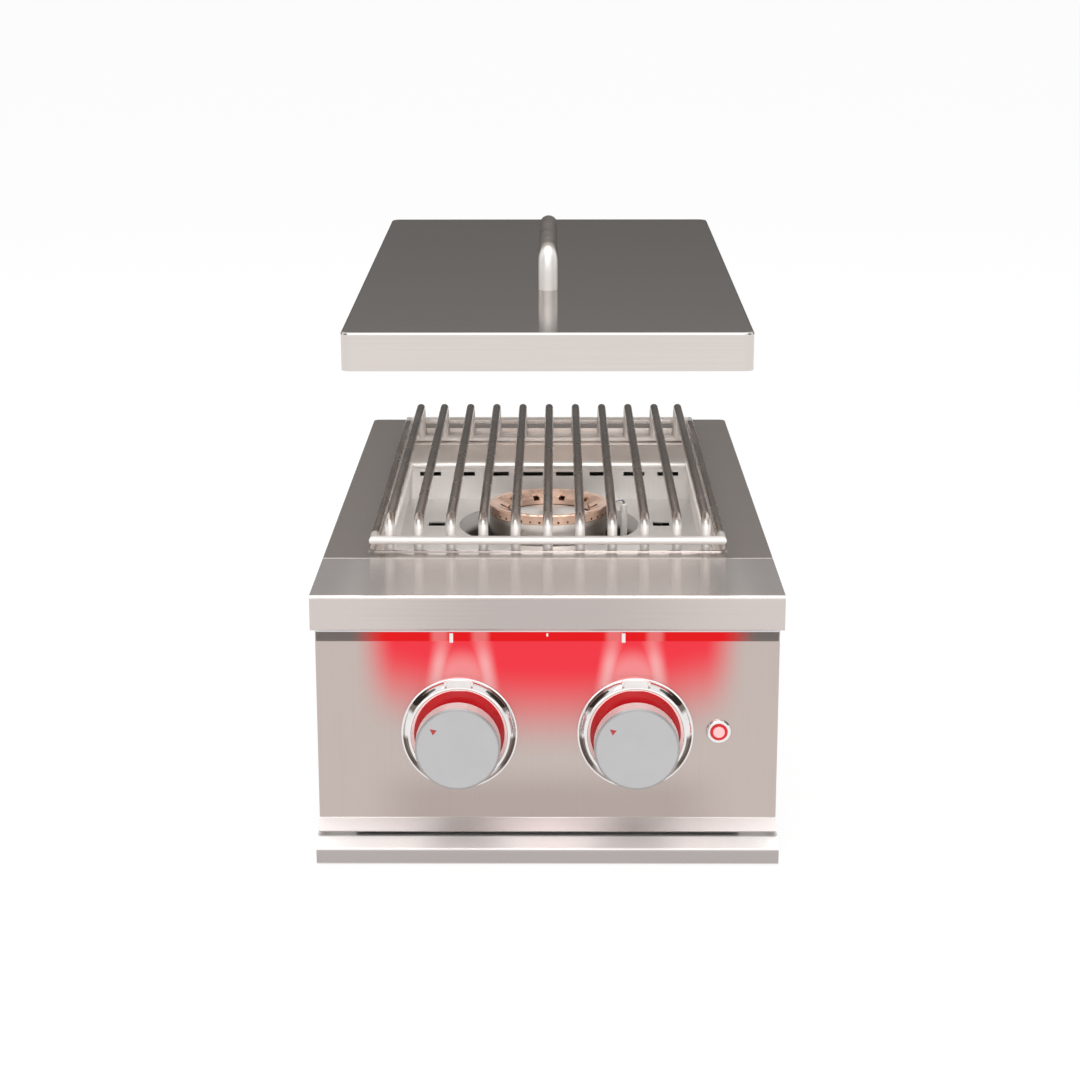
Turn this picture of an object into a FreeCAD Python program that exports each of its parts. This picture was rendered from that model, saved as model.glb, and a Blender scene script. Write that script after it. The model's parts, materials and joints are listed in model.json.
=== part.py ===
import FreeCAD, Part
import math
import os

Vector = FreeCAD.Vector

# Drop-in double side burner for an outdoor kitchen, in stainless steel.
# Millimetres. +X is to the right, +Y to the back, +Z up. The origin is at the middle of the
# overall box, on its underside. The lid is drawn lifted off, straight above its seat.

# Overall sizes
frame_width = 359.0
frame_depth = 660.0
deck_height = 218.0
sheet = 1.5
thin_sheet = 1.2
bend = 1.5
seat_gap = 0.3
running_gap = 0.05

# Deck frame and its stepped opening
hem_drop = 10.0
hem_return = 12.0
deck_corner = 6.0
opening_width = 288.0
opening_depth = 481.0
opening_setback = 131.0
opening_corner = 7.0
rim_height = 1.0
rim_width = 2.5
rebate_depth = 11.0
rebate_side = 2.0
rebate_end = 17.0
skirt_depth = 38.0
seam_chamfer = 0.4

# Front cover and control panel
cover_depth = 110.0
lip_height = 28.0
panel_setback = 22.0
panel_drop = 185.8
kick_reach = 10.0
kick_drop = 7.7
panel_return = 25.0

# Outer shell
shell_width = 300.0
shell_back = 640.0
shell_flange = 12.0

# Firebox liner
liner_bead_radius = 3.0
liner_top = 30.0
liner_floor = 68.0
liner_slot_length = 21.0
liner_slot_height = 4.0
liner_slot_pitch = 34.0
liner_slot_count = 8
liner_slot_drop = 42.0
well_radius = 87.5
well_taper = 5.0
well_depth = 44.0
floor_slot_size = 16.0
floor_slot_offset = 108.0

# Burners
burner_setbacks = {"front": 251.0, "rear": 492.0}
ring_radius = 57.0
ring_bore = 39.5
ring_drop = 46.0
ring_height = 9.0
ring_slope = 6.0
ring_land = 5.0
ring_spigot = 3.0
ring_wall = 3.5
ring_channel = 7.0
port_count = 40
port_radius = 1.1
notch_count = 10
notch_width = 6.0
notch_reach = 7.0
drum_height = 38.0
drum_wall = 2.0
foot_radius = 30.0
foot_height = 6.0
hub_radius = 10.0
baffle_radius = 38.0
baffle_sheet = 1.5

# Igniters
igniter_offset = 72.0
post_radius = 3.3
post_top = 48.0
post_tail = 6.0
collar_radius = 6.0
collar_height = 4.0
tip_radius = 1.1
tip_reach = 9.0
tip_rise = 5.0
tip_socket = 10.0
tip_bend = 3.0

# Knobs, bezels and valves
knob_offset = 68.0
knob_drop = 115.5
knob_reach = 41.0
knob_radius = 32.5
knob_cap_depth = 15.0
knob_edge = 1.2
knob_skirt_front = 29.5
knob_skirt_back = 27.0
knob_bore_radius = 24.5
knob_gap = 12.0
knob_boss_radius = 9.0
knob_boss_gap = 8.0
knob_push = 3.0
face_radius = 30.8
face_sheet = 1.2
mark_angle = 52.0
mark_radius = 23.5
mark_size = 5.0
bezel_radius = 45.0
bezel_depth = 9.0
bezel_base = 1.5
bezel_crest_outer = 42.0
bezel_crest_inner = 39.8
bezel_floor_radius = 36.5
bezel_bore = 12.0
window_width = 21.0
window_foot = 33.0
window_reach = 43.8
window_proud = 0.5
glow_inner_radius = 23.0
glow_depth = 2.5
panel_hole_radius = 10.0
stem_radius = 4.0
stem_flat = 2.9
bonnet_width = 46.0
bonnet_height = 24.0
bonnet_sheet = 2.5
bonnet_screw_offset = 18.0
valve_radius = 13.0
valve_length = 46.0
valve_taper = 6.0
valve_chamber_radius = 8.0
valve_chamber_depth = 22.0
valve_stem_depth = 10.0
stem_end_gap = 1.0
outlet_radius = 7.0
outlet_length = 10.0
saddle_radius = 7.0
collar_seat_depth = 4.0
washer_sheet = 1.0
spring_wire = 0.6
spring_turns = 4
spring_runs = 12

# Manifold, inlet and gas tubes
manifold_radius = 10.65
manifold_bore = 8.0
manifold_setback = 50.0
manifold_drop = 145.0
manifold_half = 100.0
manifold_cap = 4.0
manifold_bend = 30.0
inlet_offset = 125.0
inlet_neck = 6.0
inlet_hex = 27.0
inlet_hex_length = 8.0
inlet_thread_radius = 7.94
inlet_thread_length = 10.0
inlet_nose_length = 2.0
inlet_bore = 4.8
tube_radius = 4.0
tube_bend = 18.0
tube_drop = 133.0
tube_socket = 3.0
tube_lead = 44.0
tube_fall = 30.0
tube_shift = 40.0
tube_tail = 46.0
orifice_radius = 9.0
orifice_height = 20.0
spud_radius = 6.0
spud_rise = 8.0
locknut_radius = 11.0
locknut_height = 4.0

# Light bar and light button
bar_setback = 10.0
bar_depth = 10.0
bar_height = 10.5
bar_half = 176.0
channel_height = 3.0
channel_sheet = 0.8
button_inset = 17.5
button_drop = 115.0
button_radius = 10.0
button_flange = 2.5
button_barrel_radius = 8.0
button_barrel_length = 16.0
button_cap_radius = 6.4
button_travel = 1.5
button_cap_length = 8.0
button_nut_radius = 11.0
button_nut_height = 3.0

# Spark module and light supply
module_width = 26.0
module_depth = 56.0
module_height = 38.0
module_setback = 78.0
module_drop = 48.0
module_pin_radius = 2.5
module_pin_length = 7.0
supply_offset = 120.0
supply_drop = 100.0
supply_radius = 8.0
supply_bore = 2.75
supply_reach = 9.0
supply_tail = 12.0
supply_shoulder = 2.2

# Drip tray
tray_setback = 23.0
tray_length = 590.0
tray_width = 268.0
tray_rim = 9.0
tray_drop = 197.0
tray_depth = 19.0
runner_depth = 15.0
runner_inset = 5.0
runner_screw_inset = 30.0
tray_lip_overhang = 1.0
tray_lip_slant_depth = 12.0
tray_lip_slant_drop = 6.4
tray_lip_height = 19.4
tray_lip_drop = 0.6
tray_lip_hook = 3.0

# Cooking grate
rod_count = 11
rod_pitch = 26.1
outer_gap = 23.4
rod_radius = 4.0
rod_top = 29.0
rod_bend = 9.0
leg_gap_front = 9.0
leg_gap_back = 8.0
ring_rod_radius = 3.5
ring_rise = 9.0
ring_rod_offset = 140.5
foot_rod_radius = 3.0

# Lid
lid_width = 315.0
lid_depth = 596.0
lid_setback = 62.0
lid_skirt = 29.5
lid_rise = 16.0
lid_corner = 8.0
lid_edge = 2.0
lid_float = 160.0
handle_radius = 8.0
handle_setback = 253.0
handle_span = 180.0
handle_height = 38.0
handle_bend = 15.0
handle_screw_length = 12.0

# Screws
screw_radius = 2.0
screw_head_radius = 3.8
screw_head_height = 2.2
screw_gap = 0.05

# Places worked out from the sizes
knob_overhang = knob_reach - panel_setback
front_y = (knob_overhang - frame_depth) / 2
back_y = front_y + frame_depth
deck_z = deck_height
half_width = frame_width / 2
panel_y = front_y + panel_setback
panel_back = panel_y + sheet
panel_half = half_width - sheet
opening_half = opening_width / 2
opening_front = front_y + opening_setback
opening_back = opening_front + opening_depth
throat_half = opening_half - rebate_side
throat_front = opening_front + rebate_end
throat_back = opening_back - rebate_end
ledge_z = deck_z - rebate_depth
shell_half = shell_width / 2
shell_end = front_y + shell_back
floor_z = deck_z - liner_floor
well_floor_z = floor_z - well_depth
knob_z = deck_z - knob_drop
ring_top_z = deck_z - ring_drop
ring_seat_z = ring_top_z - ring_height
manifold_y = front_y + manifold_setback
manifold_z = deck_z - manifold_drop
tube_z = deck_z - tube_drop
rod_z = deck_z + rod_top - rod_radius
foot_rod_z = ledge_z + seat_gap + foot_rod_radius
leg_front = opening_front + leg_gap_front
leg_back = opening_back - leg_gap_back
button_x = shell_half - button_inset
button_z = deck_z - button_drop
lid_front = front_y + lid_setback
lid_bottom = deck_z + lid_float
forward = Vector(0, -1, 0)
backward = Vector(0, 1, 0)
upward = Vector(0, 0, 1)


# Shaping helpers
def block(x0, x1, y0, y1, z0, z1):
    """Box between two corners."""
    return Part.makeBox(x1 - x0, y1 - y0, z1 - z0, Vector(x0, y0, z0))


def disc(radius, base, axis, length):
    """Cylinder from its base centre along an axis."""
    return Part.makeCylinder(radius, length, base, axis)


def rounded_block(half, y0, y1, z0, z1, radius):
    """Box centred on x = 0 with its four upright edges rounded."""
    solid = block(-half, half, y0, y1, z0, z1)
    upright = [edge for edge in solid.Edges if abs(edge.tangentAt(edge.FirstParameter).z) > 0.9]
    return solid.makeFillet(radius, upright)


def placed(shape, base, axis=upward):
    """Copy of a shape drawn about +Z at the origin, turned to an axis and moved to a base."""
    moved = shape.copy()
    moved.Placement = FreeCAD.Placement(base, FreeCAD.Rotation(upward, axis))
    return moved


def turned(profile, base, axis=upward):
    """Solid of revolution from (radius, height) points, heights measured along the axis."""
    points = [Vector(radius, 0, height) for radius, height in profile]
    face = Part.Face(Part.makePolygon(points + points[:1]))
    return placed(face.revolve(Vector(0, 0, 0), upward, 360), base, axis)


def bent_edges(points, radii):
    """Straight edges through the points, with a tangent arc at each inner point."""
    edges = []
    start = points[0]
    for before, corner, after, radius in zip(points, points[1:], points[2:], radii):
        back = (before - corner).normalize()
        ahead = (after - corner).normalize()
        half_turn = (math.pi - back.getAngle(ahead)) / 2
        inward = (back + ahead).normalize()
        centre = corner + inward * (radius / math.cos(half_turn))
        first = corner + back * (radius * math.tan(half_turn))
        last = corner + ahead * (radius * math.tan(half_turn))
        edges.append(Part.LineSegment(start, first).toShape())
        edges.append(Part.Arc(first, centre - inward * radius, last).toShape())
        start = last
    edges.append(Part.LineSegment(start, points[-1]).toShape())
    return edges


def bent_rod(points, radius, bend_radius):
    """Round bar along straight runs joined by arcs."""
    path = Part.Wire(bent_edges(points, [bend_radius] * (len(points) - 2)))
    circle = Part.Wire(Part.makeCircle(radius, points[0], points[1] - points[0]))
    return path.makePipeShell([circle], True, False)


def folded_sheet(section, thickness, x0, x1):
    """Bent sheet from x0 to x1. The section is its outer line in (y, z), with the sheet on the left."""
    line = [Vector(x0, y, z) for y, z in section]
    runs = [(after - before).normalize() for before, after in zip(line, line[1:])]
    lefts = [Vector(0, -run.z, run.y) for run in runs]
    other = [line[0] + lefts[0] * thickness]
    outer_radii = []
    inner_radii = []
    for corner, run, following, left, next_left in zip(line[1:], runs, runs[1:], lefts, lefts[1:]):
        other.append(corner + (left + next_left) * (thickness / (1 + left.dot(next_left))))
        turns_left = run.cross(following).x > 0
        outer_radii.append(bend + thickness if turns_left else bend)
        inner_radii.append(bend if turns_left else bend + thickness)
    other.append(line[-1] + lefts[-1] * thickness)
    edges = bent_edges(line, outer_radii) + bent_edges(other, inner_radii)
    edges.append(Part.LineSegment(line[0], other[0]).toShape())
    edges.append(Part.LineSegment(line[-1], other[-1]).toShape())
    face = Part.Face(Part.Wire(Part.sortEdges(edges)[0]))
    return face.extrude(Vector(x1 - x0, 0, 0))


def pan_screw(seat, axis, length):
    """Pan head screw: its head stands on the seat, its shank runs along the axis."""
    head = turned(
        [(0, 0), (screw_head_radius, 0), (screw_head_radius, -screw_head_height * 0.5),
         (screw_head_radius * 0.6, -screw_head_height), (0, -screw_head_height)], seat, axis)
    return head.fuse(disc(screw_radius, seat, axis, length))


def joined(shapes):
    """One solid from shapes that meet."""
    whole = shapes[0].multiFuse(shapes[1:])
    return whole.removeSplitter()


def save(node, shape):
    """Write one sub-part, after testing that it is closed."""
    solids = shape.Solids
    assert solids and shape.isValid(), node
    print(node, len(solids), round(shape.Volume / 1000, 2), "cm3")
    Part.makeCompound(solids).exportStep("parts/" + node + ".step")


# Deck and covers
def edges_at(shape, y, z):
    """Edges that run along X at one place in (y, z)."""
    return [edge for edge in shape.Edges
            if abs(edge.tangentAt(edge.FirstParameter).x) > 0.9
            and abs(edge.CenterOfMass.y - y) < 0.01 and abs(edge.CenterOfMass.z - z) < 0.01]


def deck_frame():
    """Folded deck: hemmed edge, raised rim, stepped rebate and skirt round the opening."""
    start = front_y + cover_depth
    underside = deck_z - hem_drop
    plate = block(-half_width, half_width, start, back_y, underside, deck_z)
    rear_corners = [edge for edge in plate.Edges
                    if abs(edge.tangentAt(edge.FirstParameter).z) > 0.9
                    and edge.CenterOfMass.y > back_y - sheet]
    plate = plate.makeFillet(deck_corner, rear_corners)
    plate = plate.makeChamfer(seam_chamfer, edges_at(plate, start, deck_z))
    cavity = block(-half_width + sheet, half_width - sheet, start - 1, back_y - sheet,
                   underside + sheet, deck_z - sheet)
    mouth = block(-half_width + hem_return, half_width - hem_return, start - 1, back_y - hem_return,
                  underside - 1, underside + sheet + 1)
    deck = plate.cut(cavity).cut(mouth)
    rim = rounded_block(opening_half + rim_width, opening_front - rim_width, opening_back + rim_width,
                        deck_z - sheet, deck_z + rim_height, opening_corner + rim_width)
    rebate = rounded_block(opening_half + sheet, opening_front - sheet, opening_back + sheet,
                           ledge_z - sheet, deck_z, opening_corner + sheet)
    skirt = rounded_block(throat_half + sheet, throat_front - sheet, throat_back + sheet,
                          deck_z - skirt_depth, ledge_z, opening_corner + sheet)
    upper = rounded_block(opening_half, opening_front, opening_back, ledge_z,
                          deck_z + rim_height + 1, opening_corner)
    throat = rounded_block(throat_half, throat_front, throat_back, deck_z - skirt_depth - 1,
                           ledge_z + 1, opening_corner)
    return joined([deck, rim, rebate, skirt]).cut(upper).cut(throat)


def front_cover():
    """Front ledge and lip folded from one sheet, with closed ends."""
    lip_z = deck_z - lip_height
    section = [(front_y + cover_depth, deck_z), (front_y, deck_z), (front_y, lip_z), (panel_y, lip_z)]
    fold = folded_sheet(section, sheet, -half_width, half_width)
    fold = fold.makeChamfer(seam_chamfer, edges_at(fold, front_y + cover_depth, deck_z))
    outline = [(front_y + sheet, deck_z - sheet), (front_y + cover_depth, deck_z - sheet),
               (front_y + cover_depth, deck_z - hem_drop), (panel_y, deck_z - hem_drop),
               (panel_y, lip_z + sheet), (front_y + sheet, lip_z + sheet)]
    ends = []
    for x in (-half_width, half_width - sheet):
        corners = [Vector(x, y, z) for y, z in outline]
        ends.append(Part.Face(Part.makePolygon(corners + corners[:1])).extrude(Vector(sheet, 0, 0)))
    return joined([fold] + ends)


def control_panel():
    """Upright panel with side returns, a kicked-out lower rail and its control holes."""
    top = deck_z - sheet
    low = deck_z - panel_drop
    section = [(panel_y, top), (panel_y, low), (panel_y - kick_reach, low - kick_drop)]
    panel = folded_sheet(section, sheet, -panel_half, panel_half)
    returns = [block(x, x + sheet, panel_back, panel_back + panel_return, low, top)
               for x in (-panel_half, panel_half - sheet)]
    panel = joined([panel] + returns)
    for sign in (-1, 1):
        centre = Vector(sign * knob_offset, panel_y - 1, knob_z)
        panel = panel.cut(disc(panel_hole_radius, centre, backward, sheet + 2))
        for offset in (-bonnet_screw_offset, bonnet_screw_offset):
            hole = centre + Vector(offset, 0, 0)
            panel = panel.cut(disc(screw_radius + screw_gap, hole, backward, sheet + 2))
    button = Vector(button_x, panel_y - 1, button_z)
    return panel.cut(disc(button_barrel_radius + screw_gap, button, backward, sheet + 2))


def outer_shell():
    """Open-bottomed shell that hangs in the worktop: sides and back folded from thin sheet."""
    top = deck_z - sheet
    outer = block(-shell_half, shell_half, panel_back, shell_end, 0, top)
    inner = block(-shell_half + thin_sheet, shell_half - thin_sheet, panel_back - 1,
                  shell_end - thin_sheet, -1, top + 1)
    wide = shell_half + shell_flange
    top_flange = block(-wide, wide, panel_back, shell_end + shell_flange, top - thin_sheet, top)
    top_flange = top_flange.cut(block(-shell_half, shell_half, panel_back - 1, shell_end,
                                      top - thin_sheet - 1, top + 1))
    pieces = [outer.cut(inner), top_flange]
    low = deck_z - panel_drop
    for sign in (-1, 1):
        edge = sign * shell_half
        inward = edge - sign * shell_flange
        outward = sign * wide
        pieces.append(block(min(edge, inward), max(edge, inward), panel_back, shell_end, 0, thin_sheet))
        pieces.append(block(min(edge, outward), max(edge, outward), panel_back, panel_back + thin_sheet,
                            low, top))
    shell = joined(pieces)
    for hole, radius in ((inlet_place(), manifold_radius + 1), (supply_place(), supply_radius - 2)):
        shell = shell.cut(disc(radius, hole - backward * 5, backward, 10))
    for screw in runner_screw_places():
        shell = shell.cut(disc(screw_radius + screw_gap, screw - Vector(3, 0, 0), Vector(1, 0, 0), 6))
    return shell


def inlet_place():
    """Centre of the gas inlet on the back wall's outer face."""
    return Vector(-inlet_offset, shell_end, manifold_z)


def supply_place():
    """Centre of the light supply inlet on the back wall's outer face."""
    return Vector(supply_offset, shell_end, deck_z - supply_drop)


# Firebox
def burner_y(name):
    """Place of a burner's centre."""
    return front_y + burner_setbacks[name]


def firebox_liner():
    """Tub with a rolled bead, slotted back wall, floor slots and a round well under each burner."""
    top = deck_z - liner_top - liner_bead_radius
    tub = rounded_block(throat_half, throat_front, throat_back, floor_z - thin_sheet, top, opening_corner)
    inner_corner = opening_corner - thin_sheet
    inner = rounded_block(throat_half - thin_sheet, throat_front + thin_sheet, throat_back - thin_sheet,
                          floor_z, top + 1, inner_corner)
    bead_half = throat_half - liner_bead_radius
    bead_front = throat_front + liner_bead_radius
    bead_back = throat_back - liner_bead_radius
    middle = (bead_front + bead_back) / 2
    corners = [Vector(0, bead_front, top), Vector(bead_half, bead_front, top),
               Vector(bead_half, bead_back, top), Vector(-bead_half, bead_back, top),
               Vector(-bead_half, bead_front, top), Vector(0, bead_front, top)]
    bead = bent_rod(corners, liner_bead_radius, opening_corner - liner_bead_radius)
    pieces = [tub.cut(inner), bead]
    bottom_radius = well_radius - well_taper
    for name in burner_setbacks:
        centre = Vector(0, burner_y(name), 0)
        skin = [(0, well_floor_z - thin_sheet), (bottom_radius, well_floor_z - thin_sheet),
                (well_radius, floor_z - thin_sheet), (well_radius, floor_z), (0, floor_z)]
        pieces.append(turned(skin, centre))
    liner = joined(pieces)
    for name in burner_setbacks:
        centre = Vector(0, burner_y(name), 0)
        hollow = [(0, well_floor_z), (bottom_radius - thin_sheet, well_floor_z),
                  (well_radius - thin_sheet, floor_z), (well_radius - thin_sheet, floor_z + 1),
                  (0, floor_z + 1)]
        liner = liner.cut(turned(hollow, centre))
        below = centre + Vector(0, 0, well_floor_z - thin_sheet - 1)
        liner = liner.cut(disc(spud_radius + seat_gap, below, upward, thin_sheet + 2))
        post = below + Vector(igniter_offset, 0, 0)
        liner = liner.cut(disc(post_radius + seat_gap, post, upward, thin_sheet + 2))
        half = floor_slot_size / 2
        for x in (-floor_slot_offset, floor_slot_offset):
            liner = liner.cut(block(x - half, x + half, centre.y - half, centre.y + half,
                                    floor_z - thin_sheet - 1, floor_z + 1))
    for index in range(liner_slot_count):
        x = (index - (liner_slot_count - 1) / 2) * liner_slot_pitch
        z = deck_z - liner_slot_drop
        half = liner_slot_length / 2
        slot = block(x - half, x + half, throat_back - thin_sheet - 1, throat_back + 1,
                     z - liner_slot_height / 2, z + liner_slot_height / 2)
        liner = liner.cut(slot)
    return liner


# Burners
def burner_base(name):
    """Polished drum with a foot on the well floor and a central hub."""
    centre = Vector(0, burner_y(name), 0)
    rim_z = ring_seat_z - seat_gap
    drum_z = rim_z - drum_height
    inside = ring_radius - drum_wall
    cup_z = well_floor_z + foot_height + drum_wall
    profile = [(spud_radius + seat_gap, well_floor_z), (foot_radius, well_floor_z),
               (foot_radius, well_floor_z + foot_height), (ring_radius, drum_z), (ring_radius, rim_z),
               (inside, rim_z), (inside, drum_z + drum_wall), (foot_radius, cup_z + drum_wall),
               (hub_radius, cup_z + drum_wall), (hub_radius, hub_top()), (0, hub_top()),
               (0, cup_z + drum_wall), (spud_radius + seat_gap, cup_z + drum_wall)]
    return turned(profile, centre)


def hub_top():
    """Height of the hub, which carries the baffle below the ring's bore."""
    return ring_seat_z - ring_spigot


def burner_baffle(name):
    """Domed steel plate inside the ring, fixed on the hub."""
    centre = Vector(0, burner_y(name), hub_top())
    dome = baffle_sheet
    profile = [(0, 0), (hub_radius + 2, 0), (baffle_radius, -dome), (baffle_radius, baffle_sheet - dome),
               (hub_radius + 2, baffle_sheet), (0, baffle_sheet)]
    plate = turned(profile, centre)
    return plate.cut(disc(screw_radius + screw_gap, centre, upward, baffle_sheet + 1))


def burner_ring(name):
    """Lift-off brass ring: sloped crown, gas channel below, ports outside and notches inside."""
    centre = Vector(0, burner_y(name), 0)
    top = ring_top_z
    seat = ring_seat_z
    foot = seat - ring_spigot
    land = ring_radius - ring_land
    spigot = ring_radius - drum_wall - seat_gap
    channel_outer = ring_radius - ring_wall
    channel_inner = channel_outer - ring_channel
    roof_z = top - ring_slope / 2 - drum_wall
    profile = [(ring_bore, foot), (channel_inner, foot), (channel_inner, roof_z),
               (channel_outer, roof_z), (channel_outer, foot), (spigot, foot), (spigot, seat),
               (ring_radius, seat), (ring_radius, top - 1), (ring_radius - 1, top), (land, top),
               (ring_bore, top - ring_slope)]
    ring = turned(profile, centre)
    cutters = []
    for index in range(port_count):
        angle = 2 * math.pi * index / port_count
        ray = Vector(math.cos(angle), math.sin(angle), 0)
        start = centre + ray * (channel_outer - 1) + Vector(0, 0, (roof_z + seat) / 2)
        cutters.append(disc(port_radius, start, ray, ring_wall + 2))
    for index in range(notch_count):
        slot = block(-notch_width / 2, notch_width / 2, ring_bore - 3, ring_bore + notch_reach,
                     seat + 1, top + 1)
        slot.rotate(Vector(0, 0, 0), upward, 360 * (index + 0.5) / notch_count)
        slot.translate(centre)
        cutters.append(slot)
    return ring.cut(Part.makeCompound(cutters))


def igniter_post(name):
    """Ceramic post standing through the well floor on its collar."""
    centre = Vector(igniter_offset, burner_y(name), 0)
    foot = well_floor_z - thin_sheet - post_tail
    top = deck_z - post_top
    bore = tip_radius + running_gap
    profile = [(0, foot), (post_radius, foot), (post_radius, well_floor_z),
               (collar_radius, well_floor_z), (collar_radius, well_floor_z + collar_height),
               (post_radius, well_floor_z + collar_height), (post_radius, top - 1),
               (post_radius - 1, top), (bore, top), (bore, top - tip_socket), (0, top - tip_socket)]
    return turned(profile, centre)


def igniter_tip(name):
    """Spark electrode: a steel wire out of the post, bent towards the ring."""
    top = deck_z - post_top
    base = Vector(igniter_offset, burner_y(name), top - tip_socket + 1)
    corner = Vector(igniter_offset, burner_y(name), top + tip_rise)
    end = corner - Vector(tip_reach, 0, tip_rise / 2)
    return bent_rod([base, corner, end], tip_radius, tip_bend)


# Knobs, bezels and valves
def knob_place(sign):
    """Centre of a knob's axis on the panel's front face."""
    return Vector(sign * knob_offset, panel_y, knob_z)


def bezel(sign):
    """Chrome bezel with a sloped inner wall and a slot at the top for the light window."""
    profile = [(bezel_bore, 0), (bezel_radius, 0), (bezel_radius, 2.5), (bezel_radius - 1, 4.5),
               (bezel_crest_outer, bezel_depth), (bezel_crest_inner, bezel_depth),
               (bezel_floor_radius, bezel_base), (bezel_bore, bezel_base)]
    ring = turned(profile, knob_place(sign), forward)
    half = window_width / 2 + running_gap
    place = knob_place(sign)
    slot = block(place.x - half, place.x + half, panel_y - bezel_depth - 1, panel_y - bezel_base,
                 knob_z + window_foot, knob_z + window_reach + running_gap)
    return ring.cut(slot)


def bezel_window(sign):
    """Pale light window let into the top of a bezel, on the end of its light guide."""
    place = knob_place(sign)
    half = window_width / 2
    window = block(place.x - half, place.x + half, panel_y - bezel_depth - window_proud,
                   panel_y - bezel_base - running_gap, knob_z + window_foot, knob_z + window_reach)
    outer = [edge for edge in window.Edges
             if abs(edge.tangentAt(edge.FirstParameter).x) > 0.9
             and edge.CenterOfMass.y < panel_y - bezel_depth]
    guide = disc(bezel_floor_radius, place, forward, bezel_base + glow_depth + running_gap)
    return window.makeFillet(window_proud, outer).cut(guide)


def glow_ring(sign):
    """Clear red light guide on the bezel's floor: a flat ring with rounded inner edge."""
    outer = bezel_floor_radius - seat_gap
    front = bezel_base + glow_depth
    profile = [(glow_inner_radius, bezel_base), (outer, bezel_base), (outer, front),
               (glow_inner_radius + 1, front), (glow_inner_radius, front - 1)]
    return turned(profile, knob_place(sign), forward)


def knob_body(sign):
    """Knob: thick cap, tapered skirt and a boss with a D bore."""
    cap_back = knob_reach - knob_cap_depth
    recess = knob_reach - face_sheet
    ceiling = recess - 4
    profile = [(0, recess), (face_radius + running_gap, recess), (face_radius + running_gap, knob_reach),
               (knob_radius - knob_edge, knob_reach), (knob_radius, knob_reach - knob_edge),
               (knob_radius, cap_back), (knob_skirt_front, cap_back - 1.5), (knob_skirt_back, knob_gap),
               (knob_bore_radius, knob_gap), (knob_bore_radius, ceiling), (knob_boss_radius, ceiling),
               (knob_boss_radius, knob_boss_gap), (0, knob_boss_gap)]
    body = turned(profile, knob_place(sign), forward)
    return body.cut(d_bar(sign, stem_radius + running_gap, stem_flat + running_gap,
                          knob_boss_gap - 1, ceiling - 2))


def d_bar(sign, radius, flat, near, far):
    """D-section bar on the knob's axis, between two distances in front of the panel."""
    place = knob_place(sign)
    bar = disc(radius, place + forward * near, forward, far - near)
    keep = block(place.x - radius, place.x + radius, panel_y - far - 1, panel_y - near + 1,
                 knob_z - radius, knob_z + flat)
    return bar.common(keep)


def knob_face(sign):
    """Thin disc let into the knob's front, with a pocket for the mark."""
    place = knob_place(sign) + forward * (knob_reach - face_sheet)
    face = disc(face_radius, place, forward, face_sheet)
    return face.cut(knob_mark(sign))


def knob_mark(sign):
    """Small triangle near the knob's edge, pointing outwards."""
    tilt = math.radians(mark_angle)
    place = knob_place(sign) + forward * (knob_reach - face_sheet / 2)
    outward = Vector(-math.sin(tilt), 0, math.cos(tilt))
    across = Vector(math.cos(tilt), 0, math.sin(tilt))
    middle = place + outward * mark_radius
    base = middle - outward * mark_size * 0.4
    half = across * mark_size / 2
    corners = [middle + outward * mark_size * 0.6, base + half, base - half]
    return Part.Face(Part.makePolygon(corners + corners[:1])).extrude(forward * (face_sheet / 2))


def valve_stem(sign):
    """Turning stem: D section in the knob, a collar behind the bonnet, a round tail in the plug."""
    ceiling = knob_reach - face_sheet - 4
    place = knob_place(sign)
    front = d_bar(sign, stem_radius, stem_flat, knob_boss_gap - 2, ceiling - 2.5)
    plug_floor = bonnet_back() + valve_chamber_depth + valve_stem_depth
    tail = plug_floor - knob_push - stem_end_gap - panel_y
    shank = disc(stem_radius, place + forward * (knob_boss_gap - 2), backward, knob_boss_gap - 2 + tail)
    collar = disc(valve_chamber_radius - 1, Vector(place.x, spring_seat_y() - 2, place.z), backward, 2)
    return joined([front, shank, collar])


def bonnet_back():
    """Rear face of the valve bonnet."""
    return panel_back + bonnet_sheet


def spring_seat_y():
    """Front face of the washer that the stem's collar presses."""
    return bonnet_back() + collar_seat_depth


def valve_bonnet(sign):
    """Plate behind the panel that closes the valve and takes its two screws."""
    place = knob_place(sign)
    half = bonnet_width / 2
    plate = block(place.x - half, place.x + half, panel_back, bonnet_back(),
                  knob_z - bonnet_height / 2, knob_z + bonnet_height / 2)
    edges = [edge for edge in plate.Edges if abs(edge.tangentAt(edge.FirstParameter).y) > 0.9]
    plate = plate.makeFillet(4, edges)
    start = Vector(place.x, panel_back - 1, knob_z)
    plate = plate.cut(disc(stem_radius + running_gap, start, backward, bonnet_sheet + 2))
    for offset in (-bonnet_screw_offset, bonnet_screw_offset):
        plate = plate.cut(disc(screw_radius + screw_gap, start + Vector(offset, 0, 0), backward,
                               bonnet_sheet + 2))
    return plate


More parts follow.
